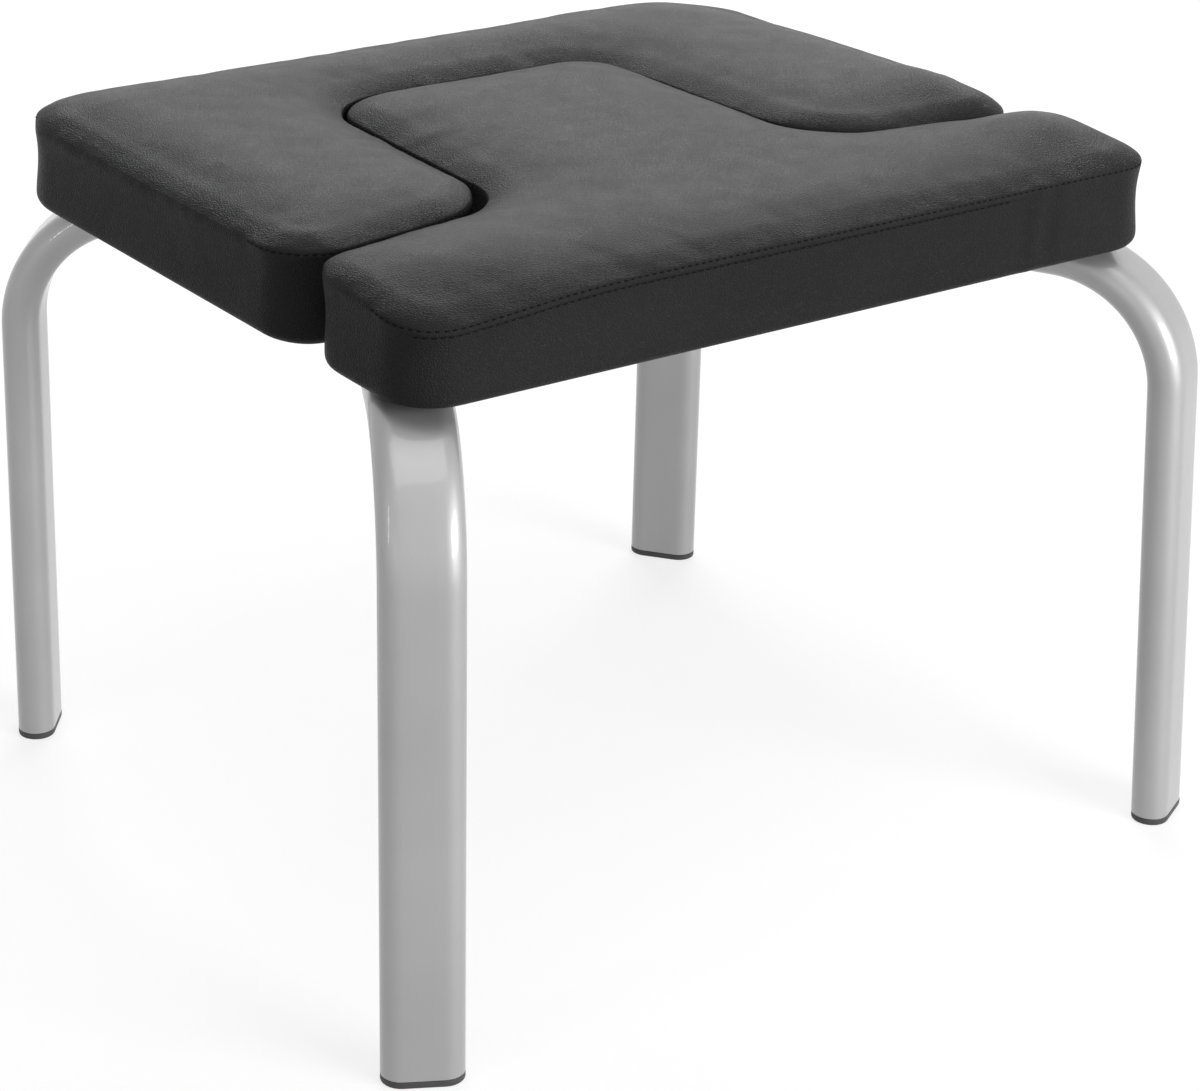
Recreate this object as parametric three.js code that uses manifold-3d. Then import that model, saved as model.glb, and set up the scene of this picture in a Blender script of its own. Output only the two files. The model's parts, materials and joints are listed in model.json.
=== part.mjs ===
// Yoga headstand stool: a U-shaped shoulder pad on four bent flat-oval legs, and a T-shaped
// insert that fills the head opening and lifts out. Millimetres, +Z up, front towards -Y.
import * as THREE from 'three';
import { mergeVertices } from 'three/addons/utils/BufferGeometryUtils.js';
import Module from 'manifold-3d';

const wasm = await Module();
wasm.setup();

// Seat as a whole
const seatWidth = 456;
const seatDepth = 382;
const undersideHeight = 316;
const clearance = 0.3;

// Upholstery, the same on both pads
const padHeight = 43;
const crownHeight = 11;
const crownReach = 36;
const bottomRoll = 6;
const sideDraw = 1.6;
const coverThickness = 1.2;
const lipWidth = 22;
const dustCoverThickness = 0.9;
const boardThickness = 15;
const waistShare = 0.62;
const crownShares = [0.1, 0.4, 1];

// Insert: a bar across the front with a tongue that fills the head opening
const insertEndInset = 2;
const barDepth = 116;
const barTaper = 25;
const barFrontRadius = 28;
const barRearRadius = 30;
const tongueTaper = 8;
const tongueRootRadius = 42;
const tongueRearRadius = 38;

// Shoulder pad: what is left of the seat around the insert
const padGap = 4;
const armWidth = 130;
const backDepth = 79;
const armFrontRadius = 26;
const armInnerRadius = 50;
const rearCornerRadius = 46;

// Leg tube
const tubeWidth = 40;
const tubeThickness = 20;
const tubeWall = 1.5;
const bendRadius = 65;
const bendSteps = 8;

// Where the feet stand, from the seat's edges to the foot's middle, and their splay in degrees
const frontFootOut = 9;
const frontFootAhead = 28;
const rearFootIn = 10;
const rearFootBehind = 9;
const frontSplay = 3.3;
const rearSplay = 0.4;

// Where the legs end under the arms, from the edges of the head opening
const frontEndInset = 20;
const frontGrip = 76;
const rearEndInset = 8;
const rearEndAhead = 6;

// Plugs in the tube ends
const footFlange = 3.6;
const endFlange = 2.4;
const flangeEdge = 1;
const footPlugLength = 18;
const endPlugLength = 11;
const plugRib = 1.6;
const plugRibHeight = 1;
const plugRibs = 1;

// Bolts, washers and tee nuts that hold each leg to the board
const boltRadius = 4;
const boltHeadWidth = 13;
const boltHeadHeight = 5.3;
const boltChamfer = 1;
const boltPitch = 34;
const boltEnd = 19;
const washerRadius = 8;
const washerThickness = 1.6;
const teeNutFlangeRadius = 11;
const teeNutFlange = 1.5;
const teeNutBarrelRadius = 5;
const teeNutBarrel = 11;
const roundSides = 10;

// Steel ledge under the tongue's rear edge
const ledgeInset = 21;
const ledgeThickness = 3;
const ledgeReach = 22;
const ledgeGrip = 54;
const ledgeRadius = 10;
const ledgeScrewInset = 12;
const ledgeScrewSetback = 38;
const screwRadius = 2;
const screwHeadRadius = 4.2;
const screwHeadHeight = 2.6;
const screwLength = 13;
const screwPoint = 4;

// Pins under the insert that drop into the front legs
const pinRadius = 4;
const pinPlay = 0.5;
const pinInBoard = 11;
const pinBelow = 12;
const pinChamfer = 1.5;
const pinAlongRun = 22;

// Booleans run past the faces they cut by this much
const overrun = 5;
const arcSteps = 4;
const ovalSegments = 4;

// Levels worked out from the sizes above
const boardBottom = undersideHeight + coverThickness + clearance;
const boardTop = boardBottom + boardThickness;
const tubeTop = undersideHeight - clearance;
const tubeBottom = tubeTop - tubeThickness;
const runCentre = tubeTop - tubeThickness / 2;
const frontEdge = -seatDepth / 2;
const barRear = frontEdge + barDepth;
const barEndRear = barRear - barTaper;
const armFront = barRear + padGap;
const armEndFront = armFront - barTaper;
const tongueRootHalf = seatWidth / 2 - armWidth - padGap;
const tongueRearHalf = tongueRootHalf - tongueTaper;
const tongueRear = seatDepth / 2 - backDepth - padGap;

const blackLeather = { color: 0x2b2b2d, roughness: 0.55, metalness: 0 };
const greyPaint = { color: 0xa9abad, roughness: 0.3, metalness: 0.35 };
const blackPlastic = { color: 0x2f3032, roughness: 0.6, metalness: 0 };
const zincSteel = { color: 0xb8b9b6, roughness: 0.35, metalness: 0.9 };
const blackSteel = { color: 0x252627, roughness: 0.5, metalness: 0.6 };
const plywood = { color: 0xc9a877, roughness: 0.8, metalness: 0 };
const foam = { color: 0xd8d3c4, roughness: 0.95, metalness: 0 };
const fleece = { color: 0x1d1d1e, roughness: 0.95, metalness: 0 };

function solidOf(geometry) {
  const bare = geometry.clone();
  bare.deleteAttribute('normal');
  bare.deleteAttribute('uv');
  const merged = mergeVertices(bare.index ? bare.toNonIndexed() : bare);
  return new wasm.Manifold(new wasm.Mesh({
    numProp: 3,
    vertProperties: new Float32Array(merged.attributes.position.array),
    triVerts: new Uint32Array(merged.index.array),
  }));
}

function geometryOf(solid) {
  const mesh = solid.getMesh();
  const geometry = new THREE.BufferGeometry();
  geometry.setAttribute('position', new THREE.BufferAttribute(mesh.vertProperties, mesh.numProp));
  geometry.setIndex(new THREE.BufferAttribute(mesh.triVerts, 1));
  return geometry;
}

function join(...geometries) {
  return geometryOf(geometries.map(solidOf).reduce((all, next) => all.add(next)));
}

function cut(geometry, ...tools) {
  return geometryOf(tools.map(solidOf).reduce((left, tool) => left.subtract(tool), solidOf(geometry)));
}

function named(name, geometry, look) {
  const mesh = new THREE.Mesh(geometry, new THREE.MeshStandardMaterial(look));
  mesh.name = name;
  return mesh;
}

// Corner radius of a polygon that clears a round piece however it is turned
function aroundRound(radius) {
  return radius / Math.cos(Math.PI / roundSides);
}

// A drill from one height to another, which clears a round piece of this radius
function drill(radius, low, high, x = 0, y = 0) {
  const reach = aroundRound(radius);
  const bar = new THREE.CylinderGeometry(reach, reach, high - low, roundSides);
  return bar.rotateX(Math.PI / 2).translate(x, y, (low + high) / 2);
}

// Revolves [radius, height] pairs about Z
function turned(profile) {
  const points = profile.map(([radius, height]) => new THREE.Vector2(radius, height));
  return new THREE.LatheGeometry(points, roundSides).rotateX(Math.PI / 2);
}

// The corner of two outline sides once both have moved inwards by the inset
function insetCorner(before, corner, after, inset) {
  const into = corner.clone().sub(before).normalize();
  const out = after.clone().sub(corner).normalize();
  const turn = into.cross(out);
  const shift = out.clone().sub(into).multiplyScalar(inset / turn);
  return { at: corner.clone().add(shift), into, out, turn };
}

// Points round an outline of rounded corners, all moved inwards by the inset
function ring(corners, inset = 0) {
  const places = corners.map(({ x, y }) => new THREE.Vector2(x, y));
  const count = corners.length;
  const points = [];
  corners.forEach(({ radius }, i) => {
    const before = places[(i + count - 1) % count];
    const after = places[(i + 1) % count];
    const { at, into, out, turn } = insetCorner(before, places[i], after, inset);
    const arc = turn > 0 ? Math.max(radius - inset, clearance) : radius + inset;
    const angle = Math.acos(into.dot(out));
    const side = Math.sign(turn);
    const centre = at.clone()
      .addScaledVector(into, -arc * Math.tan(angle / 2))
      .addScaledVector(new THREE.Vector2(-into.y, into.x), side * arc);
    const first = Math.atan2(into.y, into.x) - side * Math.PI / 2;
    for (let k = 0; k <= arcSteps; k += 1) {
      const heading = first + side * angle * k / arcSteps;
      points.push(new THREE.Vector2(Math.cos(heading), Math.sin(heading)).multiplyScalar(arc).add(centre));
    }
  });
  return points;
}

// A closed body through rings of equal count, from its flat bottom to its flat top
function loft(rings) {
  const count = rings[0].points.length;
  const positions = rings.flatMap(({ points, z }) => points.flatMap((p) => [p.x, p.y, z]));
  const faces = [];
  THREE.ShapeUtils.triangulateShape(rings[0].points, []).forEach(([a, b, c]) => faces.push(a, c, b));
  for (let level = 0; level + 1 < rings.length; level += 1) {
    for (let i = 0; i < count; i += 1) {
      const a = level * count + i;
      const b = level * count + (i + 1) % count;
      faces.push(a, b, b + count, a, b + count, a + count);
    }
  }
  const top = (rings.length - 1) * count;
  THREE.ShapeUtils.triangulateShape(rings.at(-1).points, [])
    .forEach(([a, b, c]) => faces.push(top + a, top + b, top + c));
  const geometry = new THREE.BufferGeometry();
  geometry.setAttribute('position', new THREE.Float32BufferAttribute(positions, 3));
  geometry.setIndex(faces);
  return geometry;
}

function slab(corners, inset, low, thickness) {
  const shape = new THREE.Shape(ring(corners, inset));
  return new THREE.ExtrudeGeometry(shape, { depth: thickness, bevelEnabled: false }).translate(0, 0, low);
}

// A slab with a hole drilled right through at each place
function drilledSlab(corners, inset, low, thickness, holes) {
  const drills = holes.map(({ x, y, radius }) => (
    drill(radius, low - overrun, low + thickness + overrun, x, y)
  ));
  return cut(slab(corners, inset, low, thickness), ...drills);
}

function mirrored(half) {
  const left = half.map(({ x, y, radius }) => ({ x: -x, y, radius }));
  return [...half, ...left.reverse()];
}

// Outlines, counterclockwise, right half first
const insertHalf = seatWidth / 2 - insertEndInset;
const insertOutline = mirrored([
  { x: insertHalf, y: frontEdge, radius: barFrontRadius },
  { x: insertHalf, y: barEndRear, radius: barRearRadius },
  { x: tongueRootHalf, y: barRear, radius: tongueRootRadius },
  { x: tongueRearHalf, y: tongueRear, radius: tongueRearRadius },
]);
const shoulderOutline = mirrored([
  { x: tongueRearHalf + padGap, y: tongueRear + padGap, radius: tongueRearRadius + padGap },
  { x: tongueRootHalf + padGap, y: armFront, radius: armInnerRadius },
  { x: seatWidth / 2, y: armEndFront, radius: armFrontRadius },
  { x: seatWidth / 2, y: seatDepth / 2, radius: rearCornerRadius },
]);

// How far the pad's side stands inside its outline: rolled under at the bottom, then drawn in
function sideInset(height) {
  if (height < bottomRoll) {
    return bottomRoll - Math.sqrt(bottomRoll ** 2 - (bottomRoll - height) ** 2);
  }
  return sideDraw * Math.sin(Math.PI * (height - bottomRoll) / (padHeight - bottomRoll));
}

// The upholstered form from a height above the underside, moved inside its own skin by depth
function cushion(corners, depth, from) {
  const levels = [coverThickness, bottomRoll / 3, bottomRoll, padHeight * waistShare];
  const heights = [from, ...levels.filter((height) => height > from)];
  const sides = heights.map((height) => ({
    points: ring(corners, depth + sideInset(height)),
    z: undersideHeight + height,
  }));
  const seam = { points: ring(corners, depth), z: undersideHeight + padHeight - depth };
  const crown = crownShares.map((share) => ({
    points: ring(corners, depth + crownReach * share),
    z: undersideHeight + padHeight - depth + crownHeight * (1 - (1 - share) ** 2),
  }));
  return loft([...sides, seam, ...crown]);
}

// Leather cover: a sewn shell, open underneath inside the lip that is stapled to the board
function coverOf(corners) {
  const mouth = slab(corners, lipWidth, undersideHeight - overrun, coverThickness + 2 * overrun);
  return cut(cushion(corners, 0, 0), cushion(corners, coverThickness, coverThickness), mouth);
}

function foamOf(corners) {
  return cushion(corners, coverThickness + clearance, boardTop + clearance - undersideHeight);
}

const boardInset = sideInset(coverThickness) + coverThickness + clearance;

function boardOf(corners) {
  return slab(corners, boardInset, boardBottom, boardThickness);
}

function dustCoverOf(corners, holes) {
  const low = boardBottom - clearance - dustCoverThickness;
  return drilledSlab(corners, lipWidth + clearance, low, dustCoverThickness, holes);
}

function flatOval(width, thickness) {
  const radius = thickness / 2;
  const reach = width / 2 - radius;
  const shape = new THREE.Shape();
  shape.absarc(reach, 0, radius, -Math.PI / 2, Math.PI / 2);
  shape.absarc(-reach, 0, radius, Math.PI / 2, 3 * Math.PI / 2);
  return shape;
}

// Centre line of a leg in its own frame: up from the foot, leaning in by the splay, round the
// bend and level along +X. One station per bend step, and the foot end is cut level.
class LegLine extends THREE.Curve {
  constructor(splay, low, run) {
    super();
    this.lean = THREE.MathUtils.degToRad(splay);
    const bendZ = runCentre - bendRadius * (1 - Math.sin(this.lean));
    this.bendStart = new THREE.Vector3(bendZ * Math.tan(this.lean), 0, bendZ);
    this.foot = new THREE.Vector3(low * Math.tan(this.lean), 0, low);
    this.runStart = this.onBend(Math.PI / 2);
    this.runEnd = this.runStart.clone().add(new THREE.Vector3(run, 0, 0));
    this.stations = bendSteps + 2;
  }

  onBend(angle) {
    const x = Math.cos(this.lean) - Math.cos(angle);
    const z = Math.sin(angle) - Math.sin(this.lean);
    return new THREE.Vector3(x, 0, z).multiplyScalar(bendRadius).add(this.bendStart);
  }

  angleAt(station) {
    const share = THREE.MathUtils.clamp((station - 1) / bendSteps, 0, 1);
    return THREE.MathUtils.lerp(this.lean, Math.PI / 2, share);
  }

  getPoint(t) {
    const station = t * this.stations;
    if (station <= 1) {
      return this.foot.clone().lerp(this.bendStart, station);
    }
    if (station <= 1 + bendSteps) {
      return this.onBend(this.angleAt(station));
    }
    return this.runStart.clone().lerp(this.runEnd, station - 1 - bendSteps);
  }

  getPointAt(u) {
    return this.getPoint(u);
  }

  getTangentAt(u) {
    const angle = u > 0 ? this.angleAt(u * this.stations) : 0;
    return new THREE.Vector3(Math.sin(angle), 0, Math.cos(angle));
  }
}

function tubeAlong(line, width, thickness) {
  const options = { steps: line.stations, extrudePath: line, curveSegments: ovalSegments };
  return new THREE.ExtrudeGeometry(flatOval(width, thickness), options);
}

function legTube(splay, run, holes) {
  const outer = tubeAlong(new LegLine(splay, footFlange + clearance, run), tubeWidth, tubeThickness);
  const hollow = tubeAlong(
    new LegLine(splay, footFlange + clearance - overrun, run + overrun),
    tubeWidth - 2 * tubeWall,
    tubeThickness - 2 * tubeWall,
  );
  return cut(outer, hollow, ...holes);
}

// Ribbed plug with its flange's outer face at z = 0 and its body leaning by the tube's lean
function plug(flange, length, lean) {
  const edge = Math.min(flangeEdge, flange / 3);
  const bevel = { bevelSize: edge, bevelThickness: edge, bevelSegments: 2, bevelOffset: -edge };
  const head = new THREE.ExtrudeGeometry(flatOval(tubeWidth, tubeThickness), {
    depth: flange - 2 * edge, curveSegments: ovalSegments, ...bevel,
  }).translate(0, 0, edge);
  const inside = 2 * (tubeWall + clearance);
  const core = inside + 2 * plugRibHeight;
  const body = (play, depth) => new THREE.ExtrudeGeometry(
    flatOval(tubeWidth - play, tubeThickness - play),
    { depth, bevelEnabled: false, curveSegments: ovalSegments },
  );
  const pieces = [body(core, length + flange / 2)];
  for (let k = 1; k <= plugRibs; k += 1) {
    pieces.push(body(inside, plugRib).translate(0, 0, length * k / (plugRibs + 1)));
  }
  const lift = flange / 2;
  const leaning = pieces.map((piece) => piece.translate(0, 0, lift).rotateX(lean));
  return join(head, ...leaning).rotateZ(Math.PI / 2);
}

function bolt() {
  const headRadius = boltHeadWidth / Math.sqrt(3);
  const head = new THREE.CylinderGeometry(headRadius, headRadius, boltHeadHeight, 6)
    .rotateX(Math.PI / 2).translate(0, 0, -boltHeadHeight / 2);
  const tip = boardTop - teeNutFlange - headSeat;
  const shank = turned([
    [0, -boltHeadHeight / 2],
    [boltRadius, -boltHeadHeight / 2],
    [boltRadius, tip - boltChamfer],
    [boltRadius - boltChamfer, tip],
    [0, tip],
  ]);
  return join(head, shank);
}

// Height of the bolt head's bearing face, under the washer
const washerTop = tubeBottom - clearance;
const headSeat = washerTop - washerThickness - clearance;
const holeRadius = boltRadius + clearance;

function washer() {
  return turned([
    [holeRadius, 0],
    [washerRadius, 0],
    [washerRadius, washerThickness],
    [holeRadius, washerThickness],
    [holeRadius, 0],
  ]);
}

function teeNut() {
  return turned([
    [holeRadius, -teeNutBarrel],
    [teeNutBarrelRadius, -teeNutBarrel],
    [teeNutBarrelRadius, -teeNutFlange],
    [teeNutFlangeRadius, -teeNutFlange],
    [teeNutFlangeRadius, 0],
    [holeRadius, 0],
    [holeRadius, -teeNutBarrel],
  ]);
}

// One leg with its plugs and fasteners, in a group that stands at the foot and turns to the end
function makeLeg(name, foot, end, splay, pinHole) {
  const way = end.clone().sub(foot);
  const group = new THREE.Group();
  group.position.set(foot.x, foot.y, 0);
  group.rotation.z = way.angle();
  const run = way.length() - new LegLine(splay, 0, 0).runStart.x;
  const line = new LegLine(splay, 0, run);
  const bolts = [line.runEnd.x - boltEnd - boltPitch, line.runEnd.x - boltEnd];
  const holes = bolts.map((x) => drill(holeRadius, tubeBottom - overrun, tubeTop + overrun, x));
  if (pinHole) {
    holes.push(drill(pinRadius + pinPlay, runCentre, tubeTop + overrun, line.runStart.x + pinAlongRun));
  }
  group.add(named(`${name}_leg`, legTube(splay, run, holes), greyPaint));
  group.add(named(`${name}_foot_plug`, plug(footFlange, footPlugLength, line.lean), blackPlastic));
  const endPlug = named(`${name}_end_plug`, plug(endFlange, endPlugLength, 0), blackPlastic);
  endPlug.rotation.y = -Math.PI / 2;
  endPlug.position.set(line.runEnd.x + clearance + endFlange, 0, runCentre);
  group.add(endPlug);
  bolts.forEach((x, k) => {
    const place = k === 0 ? 'outer' : 'inner';
    const hung = [
      [`${name}_bolt_${place}`, bolt(), zincSteel, headSeat],
      [`${name}_washer_${place}`, washer(), zincSteel, washerTop - washerThickness],
      [`${name}_tee_nut_${place}`, teeNut(), zincSteel, boardTop],
    ];
    hung.forEach(([title, geometry, look, height]) => {
      const piece = named(title, geometry, look);
      piece.position.set(x, 0, height);
      group.add(piece);
    });
  });
  group.updateMatrixWorld(true);
  const world = (x) => new THREE.Vector3(x, 0, 0).applyMatrix4(group.matrixWorld);
  const pins = pinHole ? [world(line.runStart.x + pinAlongRun)] : [];
  return { group, bolts: bolts.map(world), pins };
}

const frontFoot = { x: seatWidth / 2 + frontFootOut, y: frontEdge - frontFootAhead };
const frontEnd = { x: tongueRootHalf + padGap + frontEndInset, y: armFront + frontGrip };
const rearFoot = { x: seatWidth / 2 - rearFootIn, y: seatDepth / 2 + rearFootBehind };
const rearEnd = { x: tongueRearHalf + padGap + rearEndInset, y: tongueRear + padGap - rearEndAhead };

const legs = [['left', -1], ['right', 1]].flatMap(([name, side]) => {
  const at = ({ x, y }) => new THREE.Vector2(side * x, y);
  return [
    makeLeg(`front_${name}`, at(frontFoot), at(frontEnd), frontSplay, true),
    makeLeg(`rear_${name}`, at(rearFoot), at(rearEnd), rearSplay, false),
  ];
});
const boltPlaces = legs.flatMap((leg) => leg.bolts);
const pinPlaces = legs.flatMap((leg) => leg.pins);

// Ledge under the tongue, screwed to the shoulder board behind the head opening
const ledgeHalf = tongueRearHalf - ledgeInset;
const ledgeFront = tongueRear - ledgeReach;
const ledgeRear = tongueRear + padGap + ledgeGrip;
const ledgeTop = undersideHeight - clearance;
const screwY = tongueRear + padGap + ledgeScrewSetback;
const screwPlaces = [-1, 0, 1].map((side) => ({ x: side * (ledgeHalf - ledgeScrewInset), y: screwY }));

function ledge() {
  const outline = mirrored([
    { x: ledgeHalf, y: ledgeFront, radius: ledgeRadius },
    { x: ledgeHalf, y: ledgeRear, radius: ledgeRadius },
  ]);
  const holes = screwPlaces.map(({ x, y }) => ({ x, y, radius: screwRadius + clearance }));
  return drilledSlab(outline, 0, ledgeTop - ledgeThickness, ledgeThickness, holes);
}

function screw() {
  return turned([
    [0, -screwHeadHeight],
    [screwHeadRadius / 2, -screwHeadHeight],
    [screwHeadRadius, -screwHeadHeight / 2],
    [screwHeadRadius, 0],
    [screwRadius, 0],
    [screwRadius, screwLength - screwPoint],
    [0, screwLength],
  ]);
}

const screwSeat = ledgeTop - ledgeThickness - clearance;

function shoulderBoard() {
  const barrels = boltPlaces.flatMap(({ x, y }) => [
    drill(teeNutBarrelRadius + clearance, boardBottom - overrun, boardTop + overrun, x, y),
    drill(teeNutFlangeRadius + clearance, boardTop - teeNutFlange - clearance, boardTop + overrun, x, y),
  ]);
  const pilots = screwPlaces.map(({ x, y }) => (
    drill(screwRadius + clearance, boardBottom - overrun, screwSeat + screwLength + clearance, x, y)
  ));
  return cut(boardOf(shoulderOutline), ...barrels, ...pilots);
}

const pinTop = boardBottom + pinInBoard;

function insertBoard() {
  const sockets = pinPlaces.map(({ x, y }) => (
    drill(pinRadius + clearance, boardBottom - overrun, pinTop + clearance, x, y)
  ));
  return cut(boardOf(insertOutline), ...sockets);
}

function pin() {
  const tip = tubeTop - pinBelow;
  return turned([
    [0, tip],
    [pinRadius - pinChamfer, tip],
    [pinRadius, tip + pinChamfer],
    [pinRadius, pinTop],
    [0, pinTop],
  ]);
}

function shoulderPad() {
  const group = new THREE.Group();
  const holes = [
    ...boltPlaces.map(({ x, y }) => ({ x, y, radius: teeNutBarrelRadius + clearance })),
    ...screwPlaces.map(({ x, y }) => ({ x, y, radius: screwRadius + clearance })),
  ];
  group.add(named('shoulder_board', shoulderBoard(), plywood));
  group.add(named('shoulder_foam', foamOf(shoulderOutline), foam));
  group.add(named('shoulder_cover', coverOf(shoulderOutline), blackLeather));
  group.add(named('shoulder_dust_cover', dustCoverOf(shoulderOutline, holes), fleece));
  group.add(named('tongue_ledge', ledge(), blackSteel));
  ['left', 'middle', 'right'].forEach((side, k) => {
    const piece = named(`ledge_screw_${side}`, screw(), zincSteel);
    piece.position.set(screwPlaces[k].x, screwPlaces[k].y, screwSeat);
    group.add(piece);
  });
  return group;
}

function insertPad() {
  const group = new THREE.Group();
  const holes = pinPlaces.map(({ x, y }) => ({ x, y, radius: pinRadius + clearance }));
  group.add(named('insert_board', insertBoard(), plywood));
  group.add(named('insert_foam', foamOf(insertOutline), foam));
  group.add(named('insert_cover', coverOf(insertOutline), blackLeather));
  group.add(named('insert_dust_cover', dustCoverOf(insertOutline, holes), fleece));
  ['left', 'right'].forEach((side, k) => {
    const piece = named(`insert_pin_${side}`, pin(), zincSteel);
    piece.position.set(pinPlaces[k].x, pinPlaces[k].y, 0);
    group.add(piece);
  });
  return group;
}

// The origin is on the floor under the middle of the finished stool
const stool = new THREE.Group();
stool.add(shoulderPad(), insertPad(), ...legs.map((leg) => leg.group));
const middle = new THREE.Box3().setFromObject(stool, true).getCenter(new THREE.Vector3());
stool.position.set(-middle.x, -middle.y, 0);
const group = new THREE.Group();
group.add(stool);

export default group;
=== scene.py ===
import json
import math

import bpy
import numpy as np
from mathutils import Matrix, Vector, noise
from mathutils.geometry import delaunay_2d_cdt


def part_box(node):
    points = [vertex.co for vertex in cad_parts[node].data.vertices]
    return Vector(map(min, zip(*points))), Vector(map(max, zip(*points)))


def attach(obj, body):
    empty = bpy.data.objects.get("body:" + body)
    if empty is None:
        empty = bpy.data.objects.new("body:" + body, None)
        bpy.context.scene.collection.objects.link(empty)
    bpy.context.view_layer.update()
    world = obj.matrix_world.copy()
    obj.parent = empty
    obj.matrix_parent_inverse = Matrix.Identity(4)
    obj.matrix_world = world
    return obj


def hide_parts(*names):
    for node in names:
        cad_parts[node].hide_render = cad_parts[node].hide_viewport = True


# Looks of a yoga headstand stool: sewn leather pads with foam inside, flat-oval painted legs,
# plastic plugs, fixings, a pale floor and soft studio light. Metres, +Z up, front towards -Y.
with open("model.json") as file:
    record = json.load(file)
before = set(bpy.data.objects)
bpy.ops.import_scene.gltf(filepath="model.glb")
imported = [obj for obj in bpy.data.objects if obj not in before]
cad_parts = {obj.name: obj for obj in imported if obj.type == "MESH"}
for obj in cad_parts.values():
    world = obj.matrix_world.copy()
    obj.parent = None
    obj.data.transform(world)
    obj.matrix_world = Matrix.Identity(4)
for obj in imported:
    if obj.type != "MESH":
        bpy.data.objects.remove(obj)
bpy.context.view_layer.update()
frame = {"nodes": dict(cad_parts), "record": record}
MM = 0.001

# Seat, from the frame
SEAT_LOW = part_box("insert_cover")[0]
SEAT_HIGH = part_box("shoulder_cover")[1]
SEAT_WIDTH = 2 * SEAT_HIGH.x
FRONT_EDGE = SEAT_LOW.y
REAR_EDGE = SEAT_HIGH.y
SEAT_MIDDLE = (FRONT_EDGE + REAR_EDGE) / 2
UNDERSIDE = SEAT_LOW.z
PAD_TOP = SEAT_HIGH.z
CLEARANCE = 0.3 * MM

# Outlines of the two pads
INSERT_END_INSET = 2 * MM
BAR_DEPTH = 116 * MM
BAR_TAPER = 25 * MM
BAR_FRONT_RADIUS = 28 * MM
BAR_REAR_RADIUS = 30 * MM
TONGUE_TAPER = 8 * MM
TONGUE_ROOT_RADIUS = 42 * MM
TONGUE_REAR_RADIUS = 38 * MM
PAD_GAP = 4 * MM
ARM_WIDTH = 130 * MM
BACK_DEPTH = 79 * MM
ARM_FRONT_RADIUS = 26 * MM
ARM_INNER_RADIUS = 50 * MM
REAR_CORNER_RADIUS = 46 * MM

BAR_REAR = FRONT_EDGE + BAR_DEPTH
ARM_FRONT = BAR_REAR + PAD_GAP
TONGUE_ROOT = SEAT_WIDTH / 2 - ARM_WIDTH - PAD_GAP
TONGUE_TIP = TONGUE_ROOT - TONGUE_TAPER
TONGUE_REAR = REAR_EDGE - BACK_DEPTH - PAD_GAP

# Upholstery
SEAM_HEIGHT = 44 * MM
CROWN = PAD_TOP - UNDERSIDE - SEAM_HEIGHT
CROWN_REACH = 46 * MM
CROWN_FULLNESS = 1.4
BOTTOM_ROLL = 6 * MM
SIDE_DRAW = 1.7 * MM
LIP = 22 * MM
LEATHER = 1.2 * MM
BOARD = 15 * MM
FOAM_ROOM = 0.8 * MM
LOW_ROW = 4.0 * MM
ROW_END = 130 * MM
ROW_END_FADE = 12 * MM
ROW_EDGE_FADE = 6 * MM
STITCH_PITCH = 4.0 * MM
STITCH_LENGTH = 3.2 * MM
STITCH_RADIUS = 0.42 * MM
STITCH_SIDES = 6
STITCH_STATIONS = 6
GROOVE_DEPTH = 0.8 * MM
GROOVE_WIDTH = 0.65 * MM
RIDGE = 0.55 * MM
PUCKER = 0.6 * MM
PUCKER_SCALE = 7 * MM
PUCKER_REACH = 6 * MM
# Height, scale and seed of the leather's unevenness
UNEVEN = [(0.4 * MM, 45 * MM, 0), (0.13 * MM, 14 * MM, 7)]
GRID = 5 * MM
# Swell of the upper edges towards the gap, and how far from the outside it starts
GAP_SWELL = 1.3 * MM
GAP_ENDS = 14 * MM
GAP_FRONT = 50 * MM
GAP_REAR = 30 * MM
GAP_RISE = 20 * MM
GAP_DEPTH = 8 * MM
HOLLOW = 30 * MM
EDGE_ROLL = 11 * MM
EDGE_REACH = 30 * MM
# How much of the fold is left at each pad's sides, and behind which line
SIDE_SEAM = {"insert": (0.45, FRONT_EDGE + 25 * MM), "shoulder": (0.08, ARM_FRONT + 12 * MM)}
SIDE_BAND = 12 * MM
SIDE_FADE = 8 * MM
FADE = 10 * MM
CLOTH_SETTINGS = {
    "quality": 6, "mass": 0.3, "tension_stiffness": 20, "compression_stiffness": 20,
    "bending_stiffness": 1.5, "shrink_min": -0.006, "use_pressure": True, "uniform_pressure_force": 4,
}
CLOTH_FRAMES = 20
CLOTH_MOVE = 1.8 * MM
CREASES_EVENED = 0.75
EVENING_ROUNDS = 10
TOP_ROUNDS = 12
RING_STEP = 4 * MM

# Legs
TUBE_WIDTH = 40 * MM
TUBE_THICKNESS = 20 * MM
TUBE_WALL = 1.5 * MM
BEND_RADIUS = 65 * MM
BEND_STEPS = 40
FOOT_STRAIGHT = 8 * MM
FRONT_FOOT = Vector((SEAT_WIDTH / 2 + 9 * MM, FRONT_EDGE - 28 * MM))
REAR_FOOT = Vector((SEAT_WIDTH / 2 - 10 * MM, REAR_EDGE + 9 * MM))
FRONT_END = Vector((TONGUE_ROOT + PAD_GAP + 20 * MM, ARM_FRONT + 76 * MM))
REAR_END = Vector((TONGUE_TIP + PAD_GAP + 8 * MM, TONGUE_REAR + PAD_GAP - 6 * MM))
FRONT_SPLAY = math.radians(3.3)
REAR_SPLAY = math.radians(0.4)
FOOT_FLANGE = 3.6 * MM
END_FLANGE = 2.4 * MM
BOLT_END = 19 * MM
BOLT_PITCH = 34 * MM
BOLT_HOLE = 4.3 * MM
PIN_HOLE = 4.5 * MM
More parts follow.
